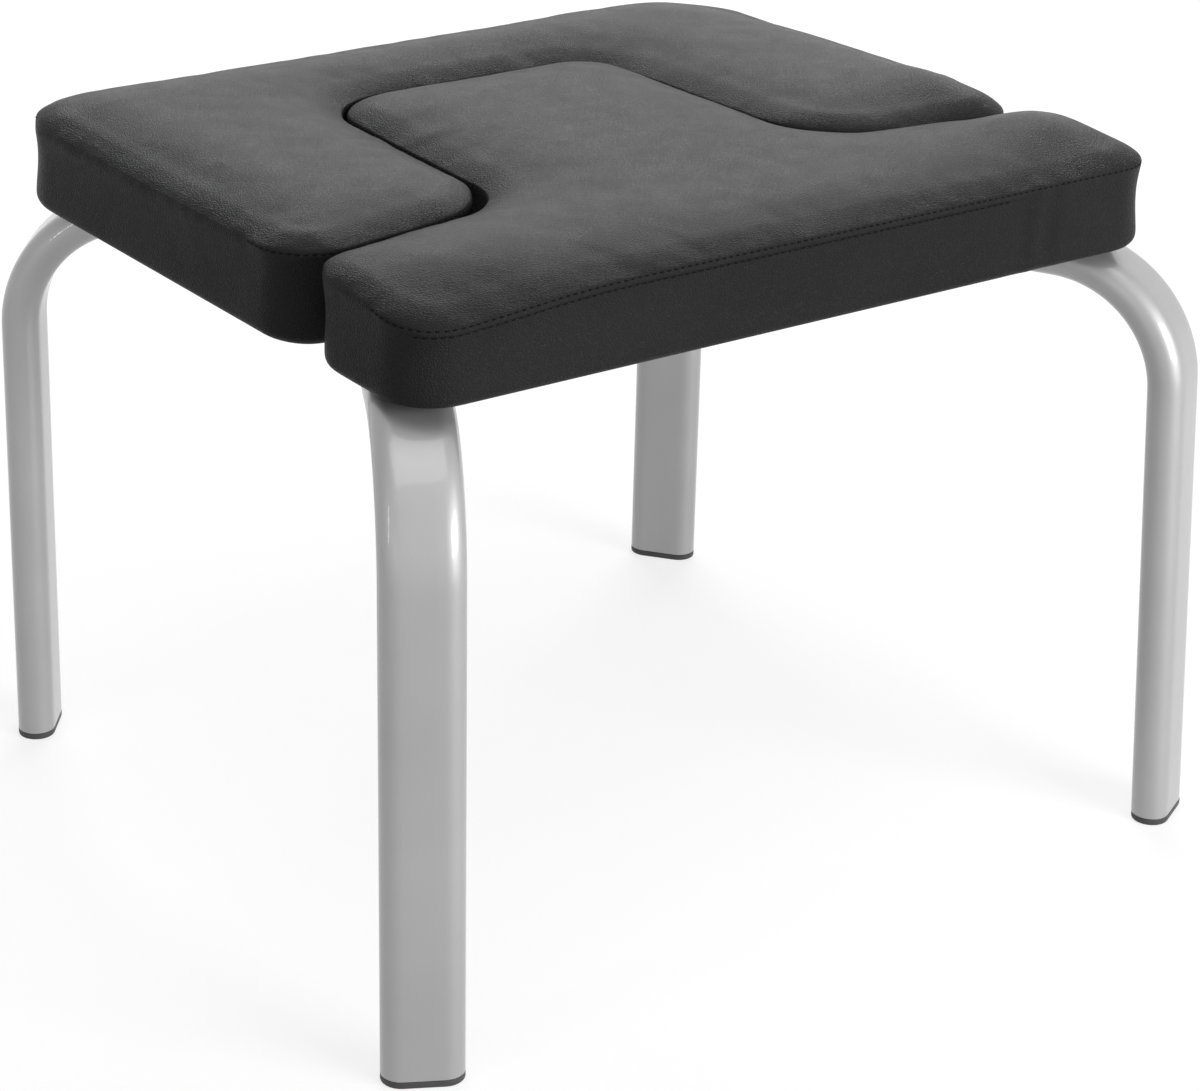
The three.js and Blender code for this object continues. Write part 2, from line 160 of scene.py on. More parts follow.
PIN_ALONG_RUN = 22 * MM
# Plugs: how far they reach in, how far the rib stands out, and their lower and upper edge radii
FOOT_PLUG = 17 * MM
END_PLUG = 10 * MM
RIB = 1 * MM
RIB_THICKNESS = 1.6 * MM
FLANGE_EDGES = (1.1 * MM, 0.3 * MM)
PLUG_EDGES = (0.1 * MM, 0.8 * MM)
RIB_EDGES = (0.4 * MM, 0.4 * MM)
TUBE_TOP = UNDERSIDE - CLEARANCE
RUN_CENTRE = TUBE_TOP - TUBE_THICKNESS / 2

# Camera: lens and place solved from the photograph, whose size is 1200 x 1091
PHOTO_WIDTH = 1200
PHOTO_HEIGHT = 1091
SENSOR = 36
LENS = 3345.5 * SENSOR / PHOTO_WIDTH
CENTRE_PIXEL = (597.75, 543.36)
CAMERA_PLACE = Vector((-0.96506, -1.3161, 0.8583))
YAW = math.radians(36.607)
PITCH = math.radians(23.87)
ROLL = math.radians(1.572)


def make_camera():
    data = bpy.data.cameras.new("camera")
    data.sensor_width = SENSOR
    data.sensor_fit = "HORIZONTAL"
    data.lens = LENS
    data.shift_x = (PHOTO_WIDTH / 2 - CENTRE_PIXEL[0]) / PHOTO_WIDTH
    data.shift_y = (CENTRE_PIXEL[1] - PHOTO_HEIGHT / 2) / PHOTO_WIDTH
    camera = bpy.data.objects.new("camera", data)
    bpy.context.scene.collection.objects.link(camera)
    ahead = Vector((math.sin(YAW) * math.cos(PITCH), math.cos(YAW) * math.cos(PITCH), -math.sin(PITCH)))
    level = Vector((math.cos(YAW), -math.sin(YAW), 0))
    upright = level.cross(ahead)
    right = level * math.cos(ROLL) + upright * math.sin(ROLL)
    up = upright * math.cos(ROLL) - level * math.sin(ROLL)
    turn = Matrix((right, up, -ahead)).transposed().to_4x4()
    camera.matrix_world = Matrix.Translation(CAMERA_PLACE) @ turn
    bpy.context.scene.camera = camera


# Materials

def new_material(name):
    material = bpy.data.materials.new(name)
    material.use_nodes = True
    return material, material.node_tree


def wire(node, settings):
    """Sets a node's inputs and properties, or links an input where the value is an output"""
    for key, value in settings.items():
        if isinstance(value, bpy.types.NodeSocket):
            node.id_data.links.new(value, node.inputs[key])
        elif key in node.inputs:
            node.inputs[key].default_value = value
        else:
            setattr(node, key, value)


def add(tree, kind, **settings):
    node = tree.nodes.new(kind)
    wire(node, settings)
    return node


def texture_at(tree, kind, stretch=None, **settings):
    """The outputs of a node fed with the place in object space, so that no UVs are needed"""
    place = add(tree, "ShaderNodeTexCoord").outputs["Object"]
    if stretch:
        place = add(tree, "ShaderNodeMapping", Vector=place, Scale=stretch).outputs["Vector"]
    return add(tree, kind, Vector=place, **settings).outputs


def noise_at(tree, scale, detail=3.0, roughness=0.5, stretch=None):
    settings = {"Scale": scale, "Detail": detail, "Roughness": roughness}
    return texture_at(tree, "ShaderNodeTexNoise", stretch, **settings)["Fac"]


def ramp(tree, source, low, high, places=(0.3, 0.7)):
    """Runs from one grey or colour at the first place to another at the second"""
    node = add(tree, "ShaderNodeValToRGB", Fac=source)
    for element, place, value in zip(node.color_ramp.elements, places, (low, high)):
        element.position = place
        element.color = (*value, 1) if isinstance(value, tuple) else (value, value, value, 1)
    return node.outputs["Color"]


def map_range(tree, source, start, end, low, high, **settings):
    names = ("Value", "From Min", "From Max", "To Min", "To Max")
    settings.update(zip(names, (source, start, end, low, high)))
    return add(tree, "ShaderNodeMapRange", **settings).outputs["Result"]


def maths(tree, operation, first, second):
    node = add(tree, "ShaderNodeMath", operation=operation)
    tree.links.new(first, node.inputs[0])
    tree.links.new(second, node.inputs[1])
    return node.outputs["Value"]


def finish(material, tone, rough, layers, constants=None):
    """Wires colour, roughness and (height, strength, distance) bump layers to the shader"""
    tree = material.node_tree
    normal = {}
    for height, strength, distance in layers:
        node = add(tree, "ShaderNodeBump", Height=height, Strength=strength, Distance=distance, **normal)
        normal = {"Normal": node.outputs["Normal"]}
    settings = {"Base Color": tone, "Roughness": rough, **normal, **(constants or {})}
    wire(tree.nodes["Principled BSDF"], settings)
    return material


# Heights over the seam where the grain is still full, and where it is drawn out
GRAIN_FULL = -2 * MM
GRAIN_DRAWN = 7 * MM


def leather_material():
    material, tree = new_material("black_leather")
    grain = texture_at(tree, "ShaderNodeTexVoronoi", feature="DISTANCE_TO_EDGE", Scale=700.0)
    cells = ramp(tree, grain["Distance"], 0.0, 1.0, (0.0, 0.28))
    # The grain is drawn out where the leather is stretched over the crown
    place = texture_at(tree, "ShaderNodeSeparateXYZ")
    seam = UNDERSIDE + SEAM_HEIGHT
    slack = map_range(tree, place["Z"], seam + GRAIN_FULL, seam + GRAIN_DRAWN, 1.0, 0.4)
    depth = maths(tree, "MULTIPLY", cells, slack)
    fine = noise_at(tree, 2400, 2)
    mottle = noise_at(tree, 60, 5, 0.6)
    tone = ramp(tree, noise_at(tree, 11), (0.0215, 0.0215, 0.0219), (0.0265, 0.0265, 0.027))
    layers = [(mottle, 0.1, 0.0008), (depth, 0.85, 0.0003), (fine, 0.3, 0.0001)]
    return finish(material, tone, ramp(tree, mottle, 0.37, 0.45), layers, {"IOR": 1.12})


def paint_material():
    material, tree = new_material("silver_paint")
    flake = noise_at(tree, 1500, 2)
    peel = noise_at(tree, 320, 2)
    tone = ramp(tree, noise_at(tree, 14), 0.385, 0.415, (0.35, 0.65))
    layers = [(peel, 0.05, 0.0002), (flake, 0.05, 0.00004)]
    gloss = {"Metallic": 0.5, "Coat Weight": 0.8, "Coat Roughness": 0.05}
    return finish(material, tone, ramp(tree, flake, 0.42, 0.5), layers, gloss)


def plastic_material():
    material, tree = new_material("black_plastic")
    spark = noise_at(tree, 1300)
    tone = ramp(tree, noise_at(tree, 90), (0.050, 0.050, 0.052), (0.066, 0.066, 0.068))
    return finish(material, tone, ramp(tree, spark, 0.5, 0.66), [(spark, 0.25, 0.0001)])


def zinc_material():
    material, tree = new_material("zinc_steel")
    brushed = noise_at(tree, 700, 3, 0.6, (1, 1, 0.15))
    tone = ramp(tree, noise_at(tree, 120, 4), (0.52, 0.53, 0.52), (0.64, 0.65, 0.63))
    rough = ramp(tree, brushed, 0.28, 0.42)
    return finish(material, tone, rough, [(brushed, 0.12, 0.0001)], {"Metallic": 1.0})


def black_steel_material():
    material, tree = new_material("black_steel")
    texture = noise_at(tree, 900, 3, 0.6)
    tone = ramp(tree, noise_at(tree, 70), (0.022, 0.022, 0.023), (0.032, 0.032, 0.033))
    return finish(material, tone, ramp(tree, texture, 0.42, 0.56), [(texture, 0.3, 0.00015)])


def plywood_material():
    material, tree = new_material("plywood")
    grain = noise_at(tree, 22, 6, 0.6, (1, 14, 14))
    plies = noise_at(tree, 400, 2, 0.5, (0.02, 0.02, 1))
    tone = ramp(tree, grain, (0.42, 0.28, 0.15), (0.60, 0.44, 0.27))
    return finish(material, tone, 0.75, [(grain, 0.25, 0.0004), (plies, 0.2, 0.0003)])


def foam_material():
    material, tree = new_material("foam")
    pores = noise_at(tree, 1400, 2, 0.7)
    tone = ramp(tree, noise_at(tree, 40), (0.62, 0.58, 0.46), (0.72, 0.68, 0.56))
    return finish(material, tone, 0.95, [(pores, 0.8, 0.0006)])


def fleece_material():
    material, tree = new_material("black_fleece")
    fibres = noise_at(tree, 900, 6, 0.75)
    dots = texture_at(tree, "ShaderNodeTexVoronoi", Scale=420.0)["Distance"]
    tone = ramp(tree, fibres, (0.012, 0.012, 0.013), (0.030, 0.030, 0.031))
    layers = [(dots, 0.4, 0.0003), (fibres, 0.4, 0.0003)]
    return finish(material, tone, 0.9, layers, {"Sheen Weight": 0.15})


def thread_material():
    material, tree = new_material("black_thread")
    twist = texture_at(tree, "ShaderNodeTexWave", Scale=900.0, Distortion=2.0)["Fac"]
    tone = ramp(tree, twist, 0.003, 0.008, (0.2, 0.8))
    return finish(material, tone, 0.8, [(twist, 0.4, 0.0001)], {"Specular IOR Level": 0.08})


LOOKS = {
    "black_leather": leather_material(),
    "silver_paint": paint_material(),
    "black_plastic": plastic_material(),
    "zinc_steel": zinc_material(),
    "black_steel": black_steel_material(),
    "plywood": plywood_material(),
    "foam": foam_material(),
    "black_fleece": fleece_material(),
}
THREAD = thread_material()


def dress_frame():
    """Gives every CAD node the material of its slot"""
    for row in frame["record"]["subparts"]:
        node = frame["nodes"][row["node"]]
        node.data.materials.clear()
        node.data.materials.append(LOOKS[row["material_slot"]])


# Mesh helpers

def piece_of(name, points, faces, look, smooth=True):
    mesh = bpy.data.meshes.new(name)
    mesh.from_pydata([tuple(p) for p in points], [], [tuple(int(i) for i in f) for f in faces])
    mesh.update()
    mesh.materials.append(look)
    piece = bpy.data.objects.new(name, mesh)
    bpy.context.scene.collection.objects.link(piece)
    if smooth:
        mesh.polygons.foreach_set("use_smooth", [True] * len(mesh.polygons))
    return piece


def settle(piece, body, *nodes):
    """The piece rides on its body and stands for CAD nodes, which are hidden"""
    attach(piece, body)
    if nodes:
        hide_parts(*nodes)


def bake(piece):
    """Applies the piece's modifiers"""
    graph = bpy.context.evaluated_depsgraph_get()
    shape = bpy.data.meshes.new_from_object(piece.evaluated_get(graph))
    old = piece.data
    piece.modifiers.clear()
    piece.data = shape
    bpy.data.meshes.remove(old)
    shape.name = piece.name
    shape.polygons.foreach_set("use_smooth", [True] * len(shape.polygons))
    return piece


def cut(piece, tools, operation="DIFFERENCE"):
    """Cuts the tools out of the piece, or joins them to it, and removes them"""
    for tool in tools:
        modifier = piece.modifiers.new("cut", "BOOLEAN")
        modifier.operation = operation
        modifier.solver = "EXACT"
        modifier.object = tool
    bake(piece)
    for tool in tools:
        bpy.data.objects.remove(tool)
    return piece


def moved(piece, x, y, z):
    piece.data.transform(Matrix.Translation((x, y, z)))
    return piece


def sharpen(piece, degrees=35):
    """Keeps edges above this angle crisp under smooth shading"""
    piece.data.set_sharp_from_angle(angle=math.radians(degrees))
    return piece


def band(count, low, high):
    """Quads between two loops of equal count, given the index of each loop's first point"""
    return [
        (low + i, low + (i + 1) % count, high + (i + 1) % count, high + i)
        for i in range(count)
    ]


def stacked(count, levels, first=0, capped=True):
    """Faces between stacked loops of equal count, with the first and last loop closed"""
    faces = []
    for k in range(levels - 1):
        faces += band(count, first + k * count, first + (k + 1) * count)
    if capped:
        last = first + (levels - 1) * count
        faces += [tuple(range(first, first + count))[::-1], tuple(range(last, last + count))]
    return faces


def quarter(radius, steps):
    """(inset, rise) round an edge, from the flat end to the upright one"""
    angles = np.linspace(0, math.pi / 2, steps)
    return [(radius * (1 - math.sin(angle)), radius * (1 - math.cos(angle))) for angle in angles]


def level_at(plan, height):
    """Flat points raised to a height"""
    return np.column_stack([plan, np.full(len(plan), height)])


def risen(value, reach):
    """0 up to 0, then rises evenly to 1 at the reach"""
    return np.clip(value / reach, 0, 1)


def run_along(path):
    """Distance of each point along a path"""
    return np.concatenate([[0], np.cumsum(np.linalg.norm(np.diff(path, axis=0), axis=1))])


def round_loop(points):
    """Distance of each point along the closed loop, and values at any distance along it"""
    run = run_along(np.concatenate([points, points[:1]]))

    def at(distance, values=points):
        wrapped = np.concatenate([values, values[:1]])
        return np.array([np.interp(distance % run[-1], run, column) for column in wrapped.T])

    return run, at


# Pad outlines

def mirrored(half):
    return half + [(-x, y, radius) for x, y, radius in reversed(half)]


INSERT_HALF = SEAT_WIDTH / 2 - INSERT_END_INSET
INSERT_OUTLINE = mirrored([
    (INSERT_HALF, FRONT_EDGE, BAR_FRONT_RADIUS),
    (INSERT_HALF, BAR_REAR - BAR_TAPER, BAR_REAR_RADIUS),
    (TONGUE_ROOT, BAR_REAR, TONGUE_ROOT_RADIUS),
    (TONGUE_TIP, TONGUE_REAR, TONGUE_REAR_RADIUS),
])
SHOULDER_OUTLINE = mirrored([
    (TONGUE_TIP + PAD_GAP, TONGUE_REAR + PAD_GAP, TONGUE_REAR_RADIUS + PAD_GAP),
    (TONGUE_ROOT + PAD_GAP, ARM_FRONT, ARM_INNER_RADIUS),
    (SEAT_WIDTH / 2, ARM_FRONT - BAR_TAPER, ARM_FRONT_RADIUS),
    (SEAT_WIDTH / 2, REAR_EDGE, REAR_CORNER_RADIUS),
])


def arcs(corners, inset):
    """(centre, radius, first angle, turn) of each corner once the outline has moved inwards"""
    found = []
    count = len(corners)
    for i, (x, y, radius) in enumerate(corners):
        corner = Vector((x, y))
        before = Vector(corners[i - 1][:2])
        after = Vector(corners[(i + 1) % count][:2])
        into = (corner - before).normalized()
        out = (after - corner).normalized()
        cross = into.x * out.y - into.y * out.x
        side = math.copysign(1, cross)
        at = corner + (out - into) * (inset / cross)
        arc = max(radius - inset, CLEARANCE) if side > 0 else radius + inset
        angle = math.acos(into.dot(out))
        left = Vector((-into.y, into.x))
        centre = at - into * (arc * math.tan(angle / 2)) + left * (side * arc)
        first = math.atan2(into.y, into.x) - side * math.pi / 2
        found.append((centre, arc, first, side * angle))
    return found


def ring_counts(corners, step):
    """How many steps each arc and each straight takes, the same for every inset"""
    base = arcs(corners, 0)
    ends = [arc_points(arc, 1) for arc in base]
    counts = []
    for i, (_, radius, _, turn) in enumerate(base):
        straight = np.linalg.norm(ends[(i + 1) % len(base)][0] - ends[i][1])
        counts.append((max(6, round(radius * abs(turn) / step)), max(1, round(straight / step))))
    return counts


def arc_points(arc, steps):
    centre, radius, first, turn = arc
    headings = first + turn * np.linspace(0, 1, steps + 1)
    return np.array(centre) + radius * np.stack([np.cos(headings), np.sin(headings)], 1)


def ring(corners, inset, counts):
    """The outline moved inwards, as points"""
    drawn = [arc_points(arc, steps) for arc, (steps, _) in zip(arcs(corners, inset), counts)]
    points = []
    for i, piece in enumerate(drawn):
        points.extend(piece)
        start, end = piece[-1], drawn[(i + 1) % len(drawn)][0]
        straight = counts[i][1]
        points.extend(start + (end - start) * k / straight for k in range(1, straight))
    return np.array(points)


def side_inset(height):
    """How far the side stands inside the outline: rolled under, then drawn in below the seam"""
    if height < BOTTOM_ROLL:
        return BOTTOM_ROLL - math.sqrt(BOTTOM_ROLL**2 - (BOTTOM_ROLL - height) ** 2)
    share = (height - BOTTOM_ROLL) / (SEAM_HEIGHT - BOTTOM_ROLL)
    return SIDE_DRAW * math.sin(math.pi * share**1.25)


def crown_rise(inset):
    """How far the top has risen above the seam at this distance inside it, upright at the seam"""
    return CROWN * (1 - (1 - risen(np.asarray(inset), CROWN_REACH)) ** 2) ** (1 / CROWN_FULLNESS)


# Where the stuffing stands fuller, and where the edge has sunk: middle, reach both ways, height
SWELLS = {
    "insert": [(205, -128, 55, 34, 6), (125, 0, 50, 90, 7)],
    "shoulder": [(215, -45, 40, 45, 6)],
}
SLUMPS = {
    "insert": [(-215, -190, 62, 34, -6.5)],
    "shoulder": [(212, 165, 34, 80, -5), (-70, 205, 230, 45, -1.2)],
}
# Where the lower edge hangs, and where it is drawn in: middle, reach both ways, move across and along
SAGS = {"insert": [], "shoulder": [(-206, -78, 15, 12, -1.6)]}
TUCKS = {"insert": [(-216, -96, 22, 22, 2.0, -1.4)], "shoulder": []}
# Where the upper edge is drawn in, in the same terms
PINCHES = {"insert": [], "shoulder": [(224, -66, 28, 26, -6, 2)]}
PINCH_FOOT = 3 * MM
PINCH_REACH = 15 * MM


def mounds(points, places):
    """Summed height of soft mounds over the seat's plan"""
    total = np.zeros(len(points))
    for x, y, reach_x, reach_y, height in places:
        across = (points[:, 0] - x * MM) / (reach_x * MM)
        along = (points[:, 1] - SEAT_MIDDLE - y * MM) / (reach_y * MM)
        total += height * MM * np.exp(-(across**2) - along**2)
    return total


def stuff(points, pad):
    """Lifts and sinks the points of a pad's upper half as its stuffing does"""
    rise = risen(points[:, 2] - UNDERSIDE - SEAM_HEIGHT, CROWN)
    edge = risen(points[:, 2] - UNDERSIDE - SEAM_HEIGHT / 2, SEAM_HEIGHT / 2)
    edge = edge * edge * (3 - 2 * edge)
    low = np.clip(1 - (points[:, 2] - UNDERSIDE) / SEAM_HEIGHT, 0, 1)
    high = risen(points[:, 2] - UNDERSIDE - BOARD - PINCH_FOOT, PINCH_REACH)
    for weight, places in ((low, TUCKS[pad]), (high, PINCHES[pad])):
        for x, y, reach_x, reach_y, across, along in places:
            bell = weight * mounds(points, [(x, y, reach_x, reach_y, 1)])
            points[:, :2] += bell[:, None] * np.array([across, along])
    points[:, 2] += rise * mounds(points, SWELLS[pad]) + edge * mounds(points, SLUMPS[pad])
    points[:, 2] += low * mounds(points, SAGS[pad])


def outline_distance(points, border):
    """Distance of each point to the closed border"""
    start = border
    way = np.roll(border, -1, axis=0) - start
    length2 = (way**2).sum(1)
    best = np.full(len(points), np.inf)
    for a, d, l2 in zip(start, way, length2):
        t = np.clip(((points - a) @ d) / l2, 0, 1)
        best = np.minimum(best, np.linalg.norm(points - a - t[:, None] * d, axis=1))
    return best


def inside(points, border):
    """Whether each point is inside the closed border"""
    hit = np.zeros(len(points), bool)
    ends = np.roll(border, -1, axis=0)
    for (ax, ay), (bx, by) in zip(border, ends):
        crosses = (ay > points[:, 1]) != (by > points[:, 1])
        if ay != by:
            at = ax + (points[:, 1] - ay) * (bx - ax) / (by - ay)
            hit ^= crosses & (points[:, 0] < at)
    return hit


def fill(border, spacing):
    """Triangles over the inside of a border: the border's points first, then a staggered grid"""
    low, high = border.min(0), border.max(0)
    rows = []
    row_step = spacing * math.sqrt(3) / 2
    for k, y in enumerate(np.arange(low[1], high[1], row_step)):
        xs = np.arange(low[0] + (k % 2) * spacing / 2, high[0], spacing)
        rows.append(np.stack([xs, np.full(len(xs), y)], 1))
    grid = np.concatenate(rows)
    grid = grid[inside(grid, border)]
    grid = grid[outline_distance(grid, border) > spacing * 0.6]
    points = np.concatenate([border, grid])
    count = len(border)
    edges = [(i, (i + 1) % count) for i in range(count)]
    made = delaunay_2d_cdt([Vector(p) for p in points], edges, [list(range(count))], 1, 1e-7)
    source = [origins[0] for origins in made[3]]
    faces = [[source[i] for i in face] for face in made[2]]
    return points, faces


def profile():
    """(inset, height) of every ring, from the lip's edge under the pad up to the crown"""
    levels = [(LIP - d, 0.0) for d in np.linspace(0, LIP - BOTTOM_ROLL, 4)]
    levels += [(side_inset(rise), rise) for _, rise in quarter(BOTTOM_ROLL, 6)[1:]]
    low = SEAM_HEIGHT - LOW_ROW
    sides = [*np.linspace(BOTTOM_ROLL, low - 2 * MM, 7)[1:]]
    sides += [low + step * MM for step in (-1, -0.4, 0, 0.4, 1, 2)]
    sides += [SEAM_HEIGHT + step * MM for step in (-1.1, -0.4)]
    levels += [(side_inset(height), height) for height in sides]
    for inset in (0, 0.5, 1.1, 2, 3.2, 5, 7.2, 10, 14):
        levels.append((inset * MM, SEAM_HEIGHT + float(crown_rise(inset * MM))))
    return levels


def softened(levels):
    """The same profile with its edge rolled over instead of folded at the seam"""
    path = np.array(levels)
    run = run_along(path)
    at_seam = run[next(k for k, (_, h) in enumerate(levels) if h >= SEAM_HEIGHT)]
    dense = np.linspace(0, run[-1], 600)
    drawn = np.column_stack([np.interp(dense, run, path[:, k]) for k in range(2)])
    rolled = []
    for place, level in zip(run, path):
        near = np.clip(1 - abs(place - at_seam) / EDGE_REACH, 0, 1)
        weights = np.clip(1 - np.abs(dense - place) / (EDGE_ROLL * max(near, 1e-3)), 0, None)
        if weights.sum() < 1:
            rolled.append(tuple(level))
        else:
            rolled.append(tuple((drawn * weights[:, None]).sum(0) / weights.sum()))
    return rolled


PROFILE = profile()
SOFT_PROFILE = softened(PROFILE)
HIGH_ROW_RING = next(k for k, (inset, h) in enumerate(PROFILE) if h >= SEAM_HEIGHT)
LOW_ROW_RING = next(k for k, (_, h) in enumerate(PROFILE) if h >= SEAM_HEIGHT - LOW_ROW)


def seam_share(border, pad):
    """1 where the edge is folded at a stitched seam, less where the leather rolls over it"""
    low, rear_of = SIDE_SEAM[pad]
    side = risen(np.abs(border[:, 0]) - SEAT_WIDTH / 2 + SIDE_BAND, SIDE_FADE)
    soft = side * risen(border[:, 1] - rear_of, FADE)
    return 1 - (1 - low) * soft * soft * (3 - 2 * soft)


def gap_share(border):
    """1 where the upper edge swells towards the other pad, 0 at the outside and round the arm corners"""
    across = risen(SEAT_WIDTH / 2 - GAP_ENDS - np.abs(border[:, 0]), GAP_ENDS)
    front = risen(border[:, 1] - FRONT_EDGE - GAP_FRONT, FADE)
    rear = risen(REAR_EDGE - GAP_REAR - border[:, 1], FADE)
    corner = np.hypot(np.abs(border[:, 0]) - TONGUE_ROOT, border[:, 1] - BAR_REAR) / HOLLOW
    return across * front * rear * (1 - np.exp(-(corner**2)))


def crown(points, faces, last, spacing, border, height):
    """Closes the last ring with a top that rises from the border at this height"""
    flat, top_faces = fill(last, spacing)
    grid = flat[len(last):]
    top = sum(len(p) for p in points) - len(last)
    points.append(np.column_stack([grid, UNDERSIDE + height + crown_rise(outline_distance(grid, border))]))
    faces += [tuple(top + i for i in face) for face in top_faces]


def pad_sheet(corners, pad):
    """The pad's outer skin, open under the lip: points, faces, ring length and how many rings"""
    counts = ring_counts(corners, RING_STEP)
    border = ring(corners, 0, counts)
    share = seam_share(border, pad)[:, None]
    towards = gap_share(border)[:, None]
    count = len(share)
    points = []
    for (inset, height), (soft_inset, soft_height) in zip(PROFILE, SOFT_PROFILE):
        plan = ring(corners, inset, counts) * share + ring(corners, soft_inset, counts) * (1 - share)
        level = height * share + soft_height * (1 - share)
        out = GAP_SWELL * risen(height - BOARD, GAP_RISE)
        near = math.exp(-inset / GAP_DEPTH)
        plan += (ring(corners, inset - out, counts) - ring(corners, inset, counts)) * towards * near
        points.append(np.column_stack([plan, UNDERSIDE + level]))
    rings = len(points)
    faces = stacked(count, rings, capped=False)
    crown(points, faces, plan, GRID, border, SEAM_HEIGHT)
    return np.concatenate(points), faces, count, rings


def face_normals_up(points, faces):
    """Vertex normals of a skin, from numpy"""
    normals = np.zeros_like(points)
    for size in (3, 4):
        chosen = np.array([f for f in faces if len(f) == size])
        if len(chosen) == 0:
            continue
        a, b, c = points[chosen[:, 0]], points[chosen[:, 1]], points[chosen[:, -1]]
        across = np.cross(b - a, c - a)
        for k in range(size):
            np.add.at(normals, chosen[:, k], across)
    return normals / np.maximum(np.linalg.norm(normals, axis=1, keepdims=True), 1e-12)


def evened(values, faces, free, rounds):
    """Rows of values, one per point, averaged over the neighbours again and again where free"""
    pairs = np.array([(f[i], f[(i + 1) % len(f)]) for f in faces for i in range(len(f))])
    pairs = np.concatenate([pairs, pairs[:, ::-1]])
    total = np.maximum(np.bincount(pairs[:, 0], minlength=len(values)), 1)
    values = values.copy()
    for _ in range(rounds):
        sums = [np.bincount(pairs[:, 0], column[pairs[:, 1]], len(values)) for column in values.T]
        values[free] = (np.column_stack(sums) / total[:, None])[free]
    return values


def inflate(points, faces, held):
    """Blows the skin up with the cloth solver; held points stay and the rest move a little"""
    piece = piece_of("inflating", points, faces, LOOKS["black_leather"])
    group = piece.vertex_groups.new(name="held")
    group.add([int(i) for i in np.flatnonzero(held)], 1.0, "REPLACE")
    cloth = piece.modifiers.new("cloth", "CLOTH")
    cloth.settings.vertex_group_mass = "held"
    cloth.settings.effector_weights.gravity = 0
    for name, value in CLOTH_SETTINGS.items():
        setattr(cloth.settings, name, value)
    cloth.point_cache.frame_start = 1
    cloth.point_cache.frame_end = CLOTH_FRAMES
    for number in range(1, CLOTH_FRAMES + 1):
        bpy.context.scene.frame_set(number)
    blown = piece.evaluated_get(bpy.context.evaluated_depsgraph_get()).data
    shape = np.empty(len(points) * 3)
    blown.vertices.foreach_get("co", shape)
    bpy.data.objects.remove(piece)
    bpy.context.scene.frame_set(1)
    shift = shape.reshape(-1, 3) - points
    shift += (evened(shift, faces, ~held, EVENING_ROUNDS) - shift) * CREASES_EVENED
    size = np.linalg.norm(shift, axis=1, keepdims=True)
    return points + shift * CLOTH_MOVE / (size + CLOTH_MOVE)


def ripple(point, scale, seed):
    return noise.noise(Vector(point) / scale + Vector((seed, 0, 0)))


# Wrinkles on the leather: middle, direction, length, width and height of each soft ridge
WRINKLES = {
    "shoulder": [
        ((47, 118, 366), (0.25, 0.97, 0), 22, 2.6, -0.9),
        ((54, 114, 366), (0.35, 0.94, 0), 24, 2.4, 0.8),
        ((62, 112, 366), (0.4, 0.9, 0), 18, 2.4, -0.7),
        ((36, 122, 366), (0.1, 1, 0), 18, 3, 0.5),
        ((186, 150, 364), (0.6, 0.8, 0), 22, 4, 0.8),
        ((200, 138, 363), (0.5, 0.86, 0), 20, 4, -0.8),
        ((-217, -74, 338), (0, 0, 1), 26, 2.5, -0.6),
    ],
    "insert": [
        ((-72, 24, 366), (0.97, 0.2, 0), 26, 3.4, 0.7),
        ((-70, 14, 366), (0.95, 0.3, 0), 24, 3, -0.6),
        ((-64, 2, 366), (0.9, 0.42, 0), 26, 3.6, 0.6),
        ((-78, -30, 366), (0.8, 0.6, 0), 26, 4, 0.5),
        ((132, -191, 340), (0.12, 0, 1), 40, 4, -0.8),
        ((141, -191, 342), (0.1, 0, 1), 42, 3.8, 1.2),
        ((150, -191, 340), (0.08, 0, 1), 40, 3.8, -0.9),
        ((159, -191, 342), (0.02, 0, 1), 34, 4, 0.6),
    ],
}


def wrinkle_heights(points, wrinkles):
    total = np.zeros(len(points))
    for middle, direction, length, width, height in wrinkles:
        centre = np.array(middle) * MM + np.array((0, SEAT_MIDDLE, 0))
        along = np.array(direction) / np.linalg.norm(direction)
        offset = points - centre
        run = offset @ along
        across = np.linalg.norm(offset - run[:, None] * along, axis=1)
        total += height * MM * np.exp(-((across / (width * MM)) ** 2) - (run / (length * MM / 2)) ** 2)
    return total


def leather_relief(points, count, rings, wrinkles, sewn, low_row_share, seed):
    """How far each point of the skin stands out: seams, puckers beside them, soft unevenness"""
    heights = np.zeros(len(points))
    for i, point in enumerate(points):
        heights[i] = sum(height * ripple(point, scale, seed + more) for height, scale, more in UNEVEN)
    for k in range(rings):
        inset, height = PROFILE[k]
        part = slice(k * count, (k + 1) * count)
        if height < BOTTOM_ROLL / 2:
            heights[part] = 0
            continue
        to_high = math.hypot(inset if k > HIGH_ROW_RING else 0, height - SEAM_HEIGHT)
        heights[part] -= sewn * GROOVE_DEPTH * math.exp(-((to_high / GROOVE_WIDTH) ** 2))
        to_low = abs(height - SEAM_HEIGHT + LOW_ROW)
        ridge = math.exp(-(((height - SEAM_HEIGHT + LOW_ROW / 2) / (LOW_ROW * 0.4)) ** 2))
        reach = RIDGE * ridge - GROOVE_DEPTH * math.exp(-((to_low / GROOVE_WIDTH) ** 2))
        heights[part] += reach * low_row_share
        near = math.exp(-to_high / PUCKER_REACH)
        for i in range(part.start, part.stop):
            heights[i] += near * PUCKER * ripple(points[i], PUCKER_SCALE, seed + 3)
    heights += wrinkle_heights(points, wrinkles)
    return heights


def double_row(border):
    """1 where the second row of stitches runs, along the front edge, fading out near its right end"""
    front = risen(FRONT_EDGE + SIDE_BAND - border[:, 1], ROW_EDGE_FADE)
    return front * risen(ROW_END - border[:, 0], ROW_END_FADE)


